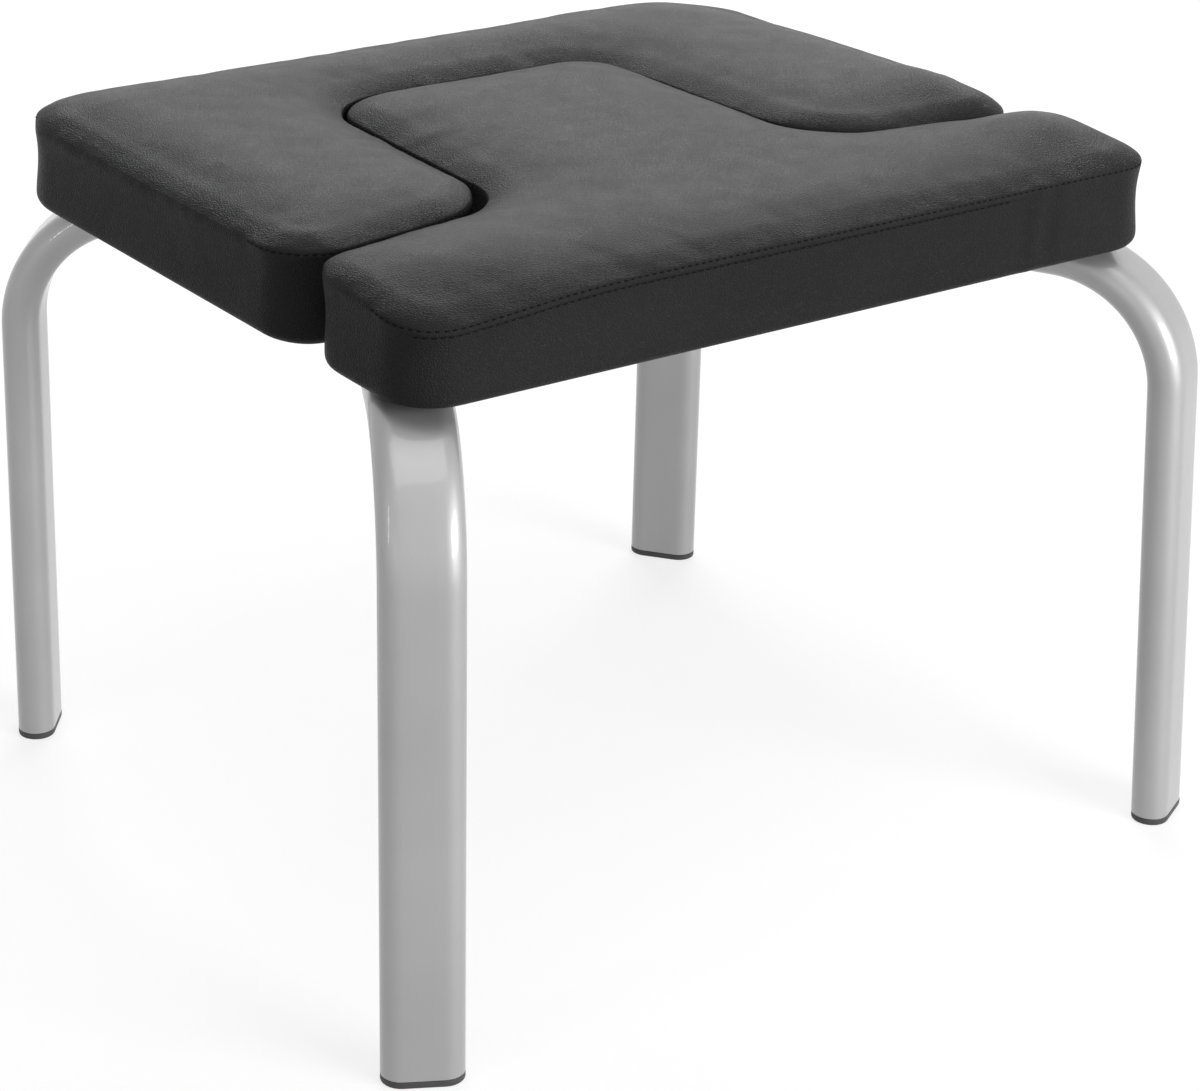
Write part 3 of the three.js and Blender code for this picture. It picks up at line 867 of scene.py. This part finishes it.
def stitch(shape_points, shape_faces, start, end, normal):
    """One thread from start to end, sunk at both ends, as a tapering body"""
    along = end - start
    length = np.linalg.norm(along)
    along = along / length
    across = np.cross(normal, along)
    first = len(shape_points)
    for t in np.linspace(0, 1, STITCH_STATIONS):
        bow = math.sin(math.pi * t)
        middle = start + along * length * t + normal * STITCH_RADIUS * (bow * 1.1 - 0.75)
        radius = STITCH_RADIUS * (0.35 + 0.65 * bow**0.5)
        for k in range(STITCH_SIDES):
            heading = k * math.pi / 3
            spoke = across * math.cos(heading) + normal * math.sin(heading)
            shape_points.append(middle + radius * spoke)
    shape_faces += stacked(STITCH_SIDES, STITCH_STATIONS, first)


def stitches(name, rows, body):
    """Threads along rows of (points, normals, shown), each a closed loop"""
    shape_points, shape_faces = [], []
    for points, normals, shown in rows:
        run, at = round_loop(points)
        count = round(run[-1] / STITCH_PITCH)
        pitch = run[-1] / count
        for k in range(count):
            middle = (k + 0.5) * pitch
            nearest = int(np.searchsorted(run, middle)) % len(points)
            if shown[nearest] < 0.5:
                continue
            start = at(middle - STITCH_LENGTH / 2)
            end = at(middle + STITCH_LENGTH / 2)
            normal = at(middle, normals)
            stitch(shape_points, shape_faces, start, end, normal / np.linalg.norm(normal))
    settle(piece_of(name, shape_points, shape_faces, THREAD), body)


def make_pad(name, body, corners, seed):
    """A leather cover with its seams and wrinkles, and the topstitching on it"""
    points, faces, count, rings = pad_sheet(corners, name)
    points[:, 2:] = evened(points[:, 2:], faces, np.arange(len(points)) >= rings * count, TOP_ROUNDS)
    points = inflate(points, faces, np.arange(len(points)) < (HIGH_ROW_RING + 2) * count)
    stuff(points, name)
    normals = face_normals_up(points, faces)
    high = slice(HIGH_ROW_RING * count, (HIGH_ROW_RING + 1) * count)
    low = slice(LOW_ROW_RING * count, (LOW_ROW_RING + 1) * count)
    low_share = double_row(points[high]) if name == "insert" else np.zeros(count)
    sewn = seam_share(points[high], name)
    relief = leather_relief(points, count, rings, WRINKLES[name], sewn, low_share, seed)
    points = points + normals * relief[:, None]
    normals = face_normals_up(points, faces)
    cover = piece_of(f"{name}_leather", points, faces, LOOKS["black_leather"])
    thicken = cover.modifiers.new("leather", "SOLIDIFY")
    thicken.thickness = LEATHER
    thicken.offset = -1
    thicken.use_even_offset = False
    finer = cover.modifiers.new("finer", "SUBSURF")
    finer.levels = finer.render_levels = 1
    bake(cover)
    settle(cover, body, f"{name}_cover")
    rows = [(points[high], normals[high], sewn)]
    if name == "insert":
        rows.append((points[low], normals[low], low_share))
    stitches(f"{name}_topstitch", rows, body)


def make_foam(name, body, corners):
    """The foam block under the leather, a closed crowned form on the board"""
    counts = ring_counts(corners, RING_STEP * 2)
    gap = LEATHER + 2 * CLEARANCE + FOAM_ROOM
    low = BOARD + LEATHER + 3 * CLEARANCE
    levels = [(gap + side_inset(height), height) for height in np.linspace(low, SEAM_HEIGHT - gap, 5)]
    for inset in (1.5, 4, 8, 14):
        levels.append((gap + inset * MM, SEAM_HEIGHT - gap + float(crown_rise(inset * MM))))
    rings = [ring(corners, inset, counts) for inset, _ in levels]
    count = len(rings[0])
    points = [level_at(r, UNDERSIDE + height) for r, (_, height) in zip(rings, levels)]
    faces = stacked(count, len(rings), capped=False)
    crown(points, faces, rings[-1], GRID * 2, ring(corners, gap, counts), SEAM_HEIGHT - gap)
    total = sum(len(p) for p in points)
    bottom, bottom_faces = fill(rings[0], GRID * 2)
    points.append(level_at(bottom[count:], UNDERSIDE + low))
    faces += [
        tuple(i if i < count else total + i - count for i in reversed(face)) for face in bottom_faces
    ]
    shape = np.concatenate(points)
    stuff(shape, name)
    foam = piece_of(f"{name}_padding", shape, faces, LOOKS["foam"])
    settle(foam, body, f"{name}_foam")


# Legs

def flat_oval(width, thickness, steps=14, flats=4):
    """(across, out) points round the tube's section"""
    radius = thickness / 2
    reach = width / 2 - radius
    headings = np.linspace(-math.pi / 2, math.pi / 2, steps + 1)
    cap = np.stack([reach + radius * np.cos(headings), radius * np.sin(headings)], 1)
    top = np.stack([np.linspace(reach, -reach, flats + 1)[1:-1], np.full(flats - 1, radius)], 1)
    return np.concatenate([cap, top, -cap, -top])


def leg_stations(splay, low, run):
    """(along, height, lean) of each station from the foot, round the bend, to the run's end"""
    bend_z = RUN_CENTRE - BEND_RADIUS * (1 - math.sin(splay))
    stations = [(low * math.tan(splay), low, 0.0)]
    for height in np.linspace(low + FOOT_STRAIGHT, bend_z, 8):
        stations.append((height * math.tan(splay), height, splay))
    for angle in np.linspace(splay, math.pi / 2, BEND_STEPS + 1)[1:]:
        along = bend_z * math.tan(splay) + BEND_RADIUS * (math.cos(splay) - math.cos(angle))
        height = bend_z + BEND_RADIUS * (math.sin(angle) - math.sin(splay))
        stations.append((along, height, angle))
    start = stations[-1][0]
    for share in np.linspace(0, 1, 6)[1:]:
        stations.append((start + run * share, RUN_CENTRE, math.pi / 2))
    return stations


def sweep(stations, section):
    """Points of the section at each station, in the leg's own upright plane"""
    rings = []
    for along, height, lean in stations:
        out = np.array([-math.cos(lean), 0, math.sin(lean)])
        across = np.array([0, 1, 0])
        middle = np.array([along, 0, height])
        rings.append(middle + section[:, :1] * across + section[:, 1:] * out)
    return rings


def drill(radius, low, high, x, y=0.0):
    bpy.ops.mesh.primitive_cylinder_add(
        vertices=48, radius=radius, depth=high - low, location=(x, y, (low + high) / 2)
    )
    return bpy.context.active_object


def placed(piece, foot, end):
    """Turns and moves a piece from the leg's own plane to its place under the seat"""
    way = end - foot
    turn = Matrix.Rotation(math.atan2(way.y, way.x), 4, "Z")
    piece.data.transform(Matrix.Translation((foot.x, foot.y, 0)) @ turn)
    return piece


def leg_tube(name, splay, run, drills):
    low = FOOT_FLANGE + CLEARANCE
    stations = leg_stations(splay, low, run)
    outer = sweep(stations, flat_oval(TUBE_WIDTH, TUBE_THICKNESS))
    inner = sweep(stations, flat_oval(TUBE_WIDTH - 2 * TUBE_WALL, TUBE_THICKNESS - 2 * TUBE_WALL))
    count = len(outer[0])
    loops = outer + inner[::-1]
    faces = []
    for k in range(len(loops)):
        faces += band(count, k * count, (k + 1) % len(loops) * count)
    piece = piece_of(name, np.concatenate(loops), faces, LOOKS["silver_paint"])
    return sharpen(cut(piece, drills), 50)


def rounded_oval(name, width, thickness, low, high, edge_low, edge_high, look):
    """A flat-oval block with rounded lower and upper edges"""
    levels = [(inset, low + rise) for inset, rise in quarter(edge_low, 6)]
    levels += [(inset, high - rise) for inset, rise in reversed(quarter(edge_high, 6))]
    points = []
    for inset, height in levels:
        section = flat_oval(width - 2 * inset, thickness - 2 * inset)
        points.append(level_at(section[:, ::-1], height))
    faces = stacked(len(points[0]), len(levels))
    piece = piece_of(name, np.concatenate(points), faces, look)
    piece.data.polygons.foreach_set("use_smooth", [k < len(faces) - 2 for k in range(len(faces))])
    return piece


def plug(name, flange, length):
    """A ribbed plug that fills the tube's end, flange at the bottom"""
    look = LOOKS["black_plastic"]
    room = 2 * (TUBE_WALL + CLEARANCE)
    wide, deep = TUBE_WIDTH - room, TUBE_THICKNESS - room
    middle = flange + length / 2
    head = rounded_oval(name, TUBE_WIDTH, TUBE_THICKNESS, 0, flange, *FLANGE_EDGES, look)
    body = rounded_oval(
        name + "_body", wide - 2 * RIB, deep - 2 * RIB,
        flange - 0.2 * MM, flange + length, *PLUG_EDGES, look,
    )
    rib = rounded_oval(name + "_rib", wide, deep, middle, middle + RIB_THICKNESS, *RIB_EDGES, look)
    return sharpen(cut(head, [body, rib], "UNION"))


def make_leg(name, side, foot, end, splay, pinned):
    foot = Vector((side * foot.x, foot.y))
    end = Vector((side * end.x, end.y))
    reach = (end - foot).length
    start = leg_stations(splay, 0, 0)[-1][0]
    run = reach - start
    bolts = [reach - BOLT_END - BOLT_PITCH, reach - BOLT_END]
    drills = [drill(BOLT_HOLE, RUN_CENTRE - TUBE_THICKNESS, TUBE_TOP + LIP, x) for x in bolts]
    if pinned:
        drills.append(drill(PIN_HOLE, RUN_CENTRE, TUBE_TOP + LIP, start + PIN_ALONG_RUN))
    tube = placed(leg_tube(f"{name}_tube", splay, run, drills), foot, end)
    settle(tube, "stool", f"{name}_leg")
    cap = placed(plug(f"{name}_foot_cap", FOOT_FLANGE, FOOT_PLUG), foot, end)
    settle(cap, "stool", f"{name}_foot_plug")
    stop = plug(f"{name}_end_cap", END_FLANGE, END_PLUG)
    stop.data.transform(Matrix.Rotation(-math.pi / 2, 4, "Y"))
    moved(stop, reach + CLEARANCE + END_FLANGE, 0, RUN_CENTRE)
    settle(placed(stop, foot, end), "stool", f"{name}_end_plug")
    for place, x in zip(("outer", "inner"), bolts):
        fixings(name, place, x, foot, end)
    way = (end - foot).normalized()
    return [foot + way * x for x in bolts], foot + way * (start + PIN_ALONG_RUN)


# Fixings

def turned(name, outline, look, sides=48):
    """Revolves (radius, height) points about Z into a closed body"""
    points = []
    headings = np.arange(sides) * 2 * math.pi / sides
    ends = [outline[0][0] == 0, outline[-1][0] == 0]
    rows = outline[1 if ends[0] else 0:len(outline) - 1 if ends[1] else len(outline)]
    for radius, height in rows:
        points += [(radius * math.cos(h), radius * math.sin(h), height) for h in headings]
    faces = stacked(sides, len(rows), capped=False)
    if ends[0] and ends[1]:
        low, high = len(points), len(points) + 1
        points += [(0, 0, outline[0][1]), (0, 0, outline[-1][1])]
        top = (len(rows) - 1) * sides
        faces += [((k + 1) % sides, k, low) for k in range(sides)]
        faces += [(top + k, top + (k + 1) % sides, high) for k in range(sides)]
    else:
        faces += band(sides, (len(rows) - 1) * sides, 0)
    return sharpen(piece_of(name, points, faces, look), 30)


def threaded(radius, depth, start, stop, pitch):
    """(radius, height) of the ridges and grooves that stand for a thread"""
    heights = np.arange(start, stop, pitch / 2)
    return [(radius - (depth if k % 2 else 0), height) for k, height in enumerate(heights)]


BOLT_HEAD = 5.3 * MM
BOLT_RADIUS = 4 * MM
BOLT_ACROSS = 13 * MM
BOLT_THREAD = 1.25 * MM
BOLT_CHAMFER = 1 * MM
THREAD_DEPTH = 0.6 * MM
TIP_BELOW = 2 * MM
WASHER_RADIUS = 8 * MM
WASHER_THICKNESS = 1.6 * MM
WASHER_EDGE = 0.25 * MM
WASHER_TOP = TUBE_TOP - TUBE_THICKNESS - CLEARANCE
HEAD_SEAT = WASHER_TOP - WASHER_THICKNESS - CLEARANCE


def hex_head(name, look):
    """A hexagon head under z = 0, its outer corners turned off"""
    corner = BOLT_ACROSS / math.sqrt(3)
    levels = [
        (corner * 0.84, -BOLT_HEAD), (corner * 0.93, -BOLT_HEAD + 0.5 * MM),
        (corner, -BOLT_HEAD + 1.5 * MM), (corner, 0),
    ]
    points = []
    sides = 36
    for limit, height in levels:
        for k in range(sides):
            heading = 2 * math.pi * k / sides
            flat = BOLT_ACROSS / 2 / math.cos((heading % (math.pi / 3)) - math.pi / 6)
            radius = min(flat, limit)
            points.append((radius * math.cos(heading), radius * math.sin(heading), height))
    return piece_of(name, points, stacked(sides, len(levels)), look, smooth=False)


def fixings(leg, place, x, foot, end):
    """A bolt and its washer under one leg"""
    steel = LOOKS["zinc_steel"]
    bolt = hex_head(f"{leg}_bolt_head_{place}", steel)
    tip = BOARD + UNDERSIDE - HEAD_SEAT - TIP_BELOW
    shank = [(0, -BOLT_HEAD / 2), (BOLT_RADIUS, -BOLT_HEAD / 2)]
    shank += threaded(BOLT_RADIUS, THREAD_DEPTH, TUBE_THICKNESS, tip - BOLT_CHAMFER, BOLT_THREAD)
    shank += [(BOLT_RADIUS - BOLT_CHAMFER, tip), (0, tip)]
    thread = turned(f"{leg}_shank_{place}", shank, steel, 24)
    bolt = moved(sharpen(cut(bolt, [thread], "UNION"), 25), x, 0, HEAD_SEAT)
    settle(placed(bolt, foot, end), "stool", f"{leg}_bolt_{place}")
    edge = WASHER_EDGE
    ring_of = [
        (BOLT_HOLE, edge), (BOLT_HOLE + edge, 0), (WASHER_RADIUS - edge, 0), (WASHER_RADIUS, edge),
        (WASHER_RADIUS, WASHER_THICKNESS - edge), (WASHER_RADIUS - edge, WASHER_THICKNESS),
        (BOLT_HOLE + edge, WASHER_THICKNESS), (BOLT_HOLE, WASHER_THICKNESS - edge),
    ]
    washer = turned(f"{leg}_washer_ring_{place}", ring_of, steel)
    moved(washer, x, 0, WASHER_TOP - WASHER_THICKNESS)
    settle(placed(washer, foot, end), "stool", f"{leg}_washer_{place}")


def polygon_area(border):
    x, y = border[:, 0], border[:, 1]
    return abs(np.dot(x, np.roll(y, -1)) - np.dot(y, np.roll(x, -1))) / 2


CLOTH = 0.7 * MM
CLOTH_LOW = UNDERSIDE + LEATHER - CLOTH - 0.2 * MM
STAPLE_WIDTH = 10 * MM
STAPLE_PITCH = 27 * MM
STAPLE_INSET = 4.5 * MM
STAPLE_WIRE = 0.6 * MM
STAPLE_FLAT = 0.35 * MM
STAPLE_BEND = 1 * MM
STAPLE_PRONG = 6 * MM
STAPLE_DENT = 0.35 * MM
DENT_REACH = 7 * MM
CLOTH_WAVE = 24 * MM
WAVE_HEIGHT = 0.2 * MM


def make_dust_cover(pad, body, corners, holes):
    """Cloth stretched under the board, stapled along its edge and drilled for the fasteners"""
    counts = ring_counts(corners, RING_STEP)
    border = ring(corners, LIP + CLEARANCE, counts)
    points, faces = fill(border, GRID)
    hang = np.zeros(len(points))
    staples = staple_places(ring(corners, LIP + STAPLE_INSET, counts))
    for middle, _ in staples:
        away = np.linalg.norm(points - middle, axis=1)
        hang += STAPLE_DENT * np.exp(-((away / DENT_REACH) ** 2))
    waves = np.array([noise.noise(Vector((*p, 0)) / CLOTH_WAVE) for p in points])
    low = CLOTH_LOW + hang * 0.5 + WAVE_HEIGHT * waves
    shape = np.concatenate([np.column_stack([points, level]) for level in (low, low + CLOTH)])
    surface = [tuple(reversed(face)) for face in faces]
    surface += [tuple(len(points) + i for i in face) for face in faces]
    surface += band(len(border), 0, len(points))
    cloth = piece_of(f"{pad}_dust_cloth", shape, surface, LOOKS["black_fleece"])
    drills = [drill(radius, CLOTH_LOW - LIP, CLOTH_LOW + LIP, x, y) for x, y, radius in holes]
    sharpen(cut(cloth, drills), 60)
    settle(cloth, body, f"{pad}_dust_cover")
    area = polygon_area(border) - sum(math.pi * radius**2 for _, _, radius in holes)
    points, faces = [], []
    for middle, way in staples:
        staple(points, faces, middle, way)
    settle(piece_of(f"{pad}_staples", points, faces, LOOKS["zinc_steel"]), body)


def staple_places(border):
    """(middle, direction) of staples spread evenly along a border"""
    run, at = round_loop(border)
    count = round(run[-1] / STAPLE_PITCH)
    places = []
    for k in range(count):
        here = run[-1] * (k + 0.5) / count
        ends = [at(here + side * STAPLE_WIDTH / 2) for side in (-1, 1)]
        way = ends[1] - ends[0]
        places.append(((ends[0] + ends[1]) / 2, way / np.linalg.norm(way)))
    return places


def staple(points, faces, middle, way):
    """A flat wire staple seen from below, its two prongs in the board"""
    half, bend = STAPLE_WIDTH / 2, STAPLE_BEND
    top = CLOTH_LOW + LEATHER + STAPLE_PRONG
    low = CLOTH_LOW - 0.15 * MM
    route = [(-half, top), (-half, low + bend)]
    route += [(-half + 0.3 * bend, low + 0.3 * bend), (-half + bend, low)]
    route += [(-x, z) for x, z in reversed(route)]
    side = np.array([-way[1], way[0], 0])
    along = np.array([way[0], way[1], 0])
    first = len(points)
    for k, (x, z) in enumerate(route):
        before, after = route[max(k - 1, 0)], route[min(k + 1, len(route) - 1)]
        tangent = np.array([after[0] - before[0], after[1] - before[1]])
        tangent = tangent / np.linalg.norm(tangent)
        out = along * tangent[1] - np.array([0, 0, 1]) * tangent[0]
        centre = np.array([middle[0], middle[1], 0]) + along * x + np.array([0, 0, z])
        for a, b in ((-1, -1), (1, -1), (1, 1), (-1, 1)):
            points.append(centre + side * a * STAPLE_WIRE + out * b * STAPLE_FLAT)
    faces += stacked(4, len(route), first)


# Ledge under the tongue, its screws, and the pins under the bar
LEDGE_INSET = 21 * MM
LEDGE_THICKNESS = 3 * MM
LEDGE_REACH = 22 * MM
LEDGE_GRIP = 54 * MM
LEDGE_RADIUS = 10 * MM
LEDGE_EASE = 0.5 * MM
LEDGE_STEP = 1.5 * MM
SCREW_INSET = 12 * MM
SCREW_SETBACK = 38 * MM
SCREW_RADIUS = 2 * MM
SCREW_HEAD_RADIUS = 4.2 * MM
SCREW_HEAD = 2.6 * MM
SCREW_LENGTH = 13 * MM
SCREW_POINT = 4 * MM
SCREW_THREAD = 1.2 * MM
SCREW_DEPTH = 0.5 * MM
RECESS_WIDTH = 0.9 * MM
PIN_RADIUS = 4 * MM
PIN_IN_BOARD = 11 * MM
PIN_BELOW = 12 * MM
PIN_NOSE = 2 * MM
PIN_CHAMFER = 0.5 * MM

LEDGE_HALF = TONGUE_TIP - LEDGE_INSET
LEDGE_TOP = UNDERSIDE - CLEARANCE
SCREW_SEAT = LEDGE_TOP - LEDGE_THICKNESS - CLEARANCE
SCREWS = [
    ("left", -LEDGE_HALF + SCREW_INSET), ("middle", 0.0), ("right", LEDGE_HALF - SCREW_INSET),
]
SCREW_Y = TONGUE_REAR + PAD_GAP + SCREW_SETBACK


def make_ledge():
    """Painted steel plate with eased edges, drilled for three screws"""
    corners = mirrored([
        (LEDGE_HALF, TONGUE_REAR - LEDGE_REACH, LEDGE_RADIUS),
        (LEDGE_HALF, TONGUE_REAR + PAD_GAP + LEDGE_GRIP, LEDGE_RADIUS),
    ])
    counts = ring_counts(corners, LEDGE_STEP)
    levels = [(LEDGE_EASE, 0), (0.15 * LEDGE_EASE, 0.15 * LEDGE_EASE), (0, LEDGE_EASE)]
    levels += [(inset, LEDGE_THICKNESS - height) for inset, height in reversed(levels)]
    rings = [ring(corners, inset, counts) for inset, _ in levels]
    low = LEDGE_TOP - LEDGE_THICKNESS
    points = np.concatenate([level_at(r, low + height) for r, (_, height) in zip(rings, levels)])
    faces = stacked(len(rings[0]), len(levels))
    plate = piece_of("tongue_ledge_plate", points, faces, LOOKS["black_steel"])
    drills = [drill(SCREW_RADIUS + CLEARANCE, low - LIP, low + LIP, x, SCREW_Y) for _, x in SCREWS]
    settle(sharpen(cut(plate, drills), 30), "stool", "tongue_ledge")
    for side, x in SCREWS:
        make_screw(side, x)


def make_screw(side, x):
    """Pan-head wood screw with a cross recess and a cut thread"""
    head = [(0, -SCREW_HEAD)]
    for angle in np.linspace(math.radians(20), math.pi / 2, 7):
        head.append((SCREW_HEAD_RADIUS * math.sin(angle), -SCREW_HEAD * (0.25 + 0.75 * math.cos(angle))))
    head += [(SCREW_HEAD_RADIUS, 0), (SCREW_RADIUS, 0)]
    thread_end = SCREW_LENGTH - SCREW_POINT
    head += threaded(SCREW_RADIUS, SCREW_DEPTH, LEDGE_THICKNESS + CLEARANCE, thread_end, SCREW_THREAD)
    head += [(SCREW_RADIUS - 0.2 * MM, thread_end), (0, SCREW_LENGTH)]
    screw = turned(f"ledge_woodscrew_{side}", head, LOOKS["zinc_steel"], 32)
    tools = []
    for turn in (0, math.pi / 2):
        bpy.ops.mesh.primitive_cube_add(size=1, location=(0, 0, -SCREW_HEAD), rotation=(0, 0, turn + 0.4))
        tool = bpy.context.active_object
        tool.scale = (SCREW_HEAD_RADIUS * 1.15, RECESS_WIDTH, 1.6 * SCREW_HEAD * 0.7)
        tools.append(tool)
    screw = moved(sharpen(cut(screw, tools), 30), x, SCREW_Y, SCREW_SEAT)
    settle(screw, "stool", f"ledge_screw_{side}")


def make_pin(side, place):
    """Steel dowel under the bar, its tip rounded to find its hole"""
    tip = TUBE_TOP - PIN_BELOW
    top = UNDERSIDE + LEATHER + CLEARANCE + PIN_IN_BOARD
    outline = [(0, tip)]
    outline += [(PIN_RADIUS - inset, tip + rise) for inset, rise in quarter(PIN_NOSE, 7)]
    outline += [(PIN_RADIUS, top - PIN_CHAMFER), (PIN_RADIUS - PIN_CHAMFER, top), (0, top)]
    pin = moved(turned(f"insert_dowel_{side}", outline, LOOKS["zinc_steel"]), *place, 0)
    settle(pin, "insert", f"insert_pin_{side}")


# Stage, light and view
FLOOR_LIFT = 0.72
LIFT_RANGE = (1.2, 4.0)
SKY = 0.22


def seen(tree):
    """1 for the rays that should find a white background: camera, glossy and transmission"""
    path = tree.nodes.new("ShaderNodeLightPath")
    total = path.outputs["Is Camera Ray"]
    for name in ("Is Glossy Ray", "Is Transmission Ray"):
        total = maths(tree, "MAXIMUM", total, path.outputs[name])
    return total


def joined(tree, first, second, share=None):
    """Two shaders added up, or the second mixed in by a share"""
    node = tree.nodes.new("ShaderNodeMixShader" if share else "ShaderNodeAddShader")
    if share:
        tree.links.new(share, node.inputs["Fac"])
    for shader, socket in zip((first, second), list(node.inputs)[-2:]):
        tree.links.new(shader, socket)
    return node.outputs["Shader"]


def make_stage():
    """A pale floor and a white surrounding, both darker for the light they throw on the stool"""
    material, tree = new_material("floor")
    tone = ramp(tree, noise_at(tree, 300, 3), 0.34, 0.36)
    finish(material, tone, 0.8, [], {"Specular IOR Level": 0.1})
    away = texture_at(tree, "ShaderNodeVectorMath", operation="LENGTH")["Value"]
    fade = map_range(tree, away, *LIFT_RANGE, FLOOR_LIFT, 1.0, interpolation_type="SMOOTHSTEP")
    lift = add(tree, "ShaderNodeEmission", Strength=maths(tree, "MULTIPLY", seen(tree), fade))
    total = joined(tree, tree.nodes["Principled BSDF"].outputs["BSDF"], lift.outputs["Emission"])
    # Nothing from beneath, so that the underside can be looked at
    clear = add(tree, "ShaderNodeBsdfTransparent").outputs["BSDF"]
    total = joined(tree, total, clear, add(tree, "ShaderNodeNewGeometry").outputs["Backfacing"])
    wire(tree.nodes["Material Output"], {"Surface": total})
    bpy.ops.mesh.primitive_plane_add(size=40, location=(0, 0, 0))
    floor = bpy.context.active_object
    floor.name = "floor"
    floor.data.materials.append(material)
    world = bpy.data.worlds.new("world")
    bpy.context.scene.world = world
    world.use_nodes = True
    tree = world.node_tree
    skies = [
        add(tree, "ShaderNodeBackground", Color=(1, 1, 1, 1), Strength=strength).outputs["Background"]
        for strength in (SKY, 1.0)
    ]
    wire(tree.nodes["World Output"], {"Surface": joined(tree, *skies, seen(tree))})


# Name, place, target, width, height and power of each lamp
LAMPS = [
    ("back_low", (1.65, 2.2, 1.75), (0, 0, 0.35), 2.6, 1.2, 52),
    ("overhead", (-0.3, -0.6, 2.4), (-0.25, -0.2, 0.3), 1.6, 1.5, 11),
    ("front_fill", (0.9, -2.6, 0.9), (0, -0.1, 0.3), 1.6, 1.0, 58),
    ("right_strip", (1.5, -1.75, 0.95), (0.1, 0, 0.35), 0.35, 1.3, 1.5),
    ("left_strip", (-2.2, -0.35, 1.0), (-0.2, -0.2, 0.3), 0.08, 0.8, 2.6),
    ("left_soft", (-2.2, -1.7, 0.8), (0, -0.1, 0.3), 1.2, 0.9, 2),
]


def make_lights():
    for name, place, target, width, height, power in LAMPS:
        data = bpy.data.lights.new(name, "AREA")
        data.shape = "RECTANGLE"
        data.size = width
        data.size_y = height
        data.energy = power
        lamp = bpy.data.objects.new(name, data)
        bpy.context.scene.collection.objects.link(lamp)
        lamp.location = place
        lamp.rotation_euler = (Vector(target) - Vector(place)).to_track_quat("-Z", "Y").to_euler()
        lamp.visible_camera = False


dress_frame()
make_camera()
make_stage()
make_lights()
make_pad("insert", "insert", INSERT_OUTLINE, 3)
make_pad("shoulder", "stool", SHOULDER_OUTLINE, 11)
make_foam("insert", "insert", INSERT_OUTLINE)
make_foam("shoulder", "stool", SHOULDER_OUTLINE)
bolt_places, pin_places = [], []
for label, way in (("left", -1), ("right", 1)):
    bolts, pin = make_leg(f"front_{label}", way, FRONT_FOOT, FRONT_END, FRONT_SPLAY, True)
    make_pin(label, pin)
    pin_places.append(pin)
    bolt_places += bolts
    bolts, _ = make_leg(f"rear_{label}", way, REAR_FOOT, REAR_END, REAR_SPLAY, False)
    bolt_places += bolts
make_ledge()
shoulder_holes = [(x, y, BOLT_RADIUS + CLEARANCE) for x, y in bolt_places]
shoulder_holes += [(x, SCREW_Y, SCREW_RADIUS + CLEARANCE) for _, x in SCREWS]
make_dust_cover("shoulder", "stool", SHOULDER_OUTLINE, shoulder_holes)
insert_holes = [(x, y, PIN_RADIUS + CLEARANCE) for x, y in pin_places]
make_dust_cover("insert", "insert", INSERT_OUTLINE, insert_holes)

bpy.context.scene.view_settings.view_transform = "Standard"
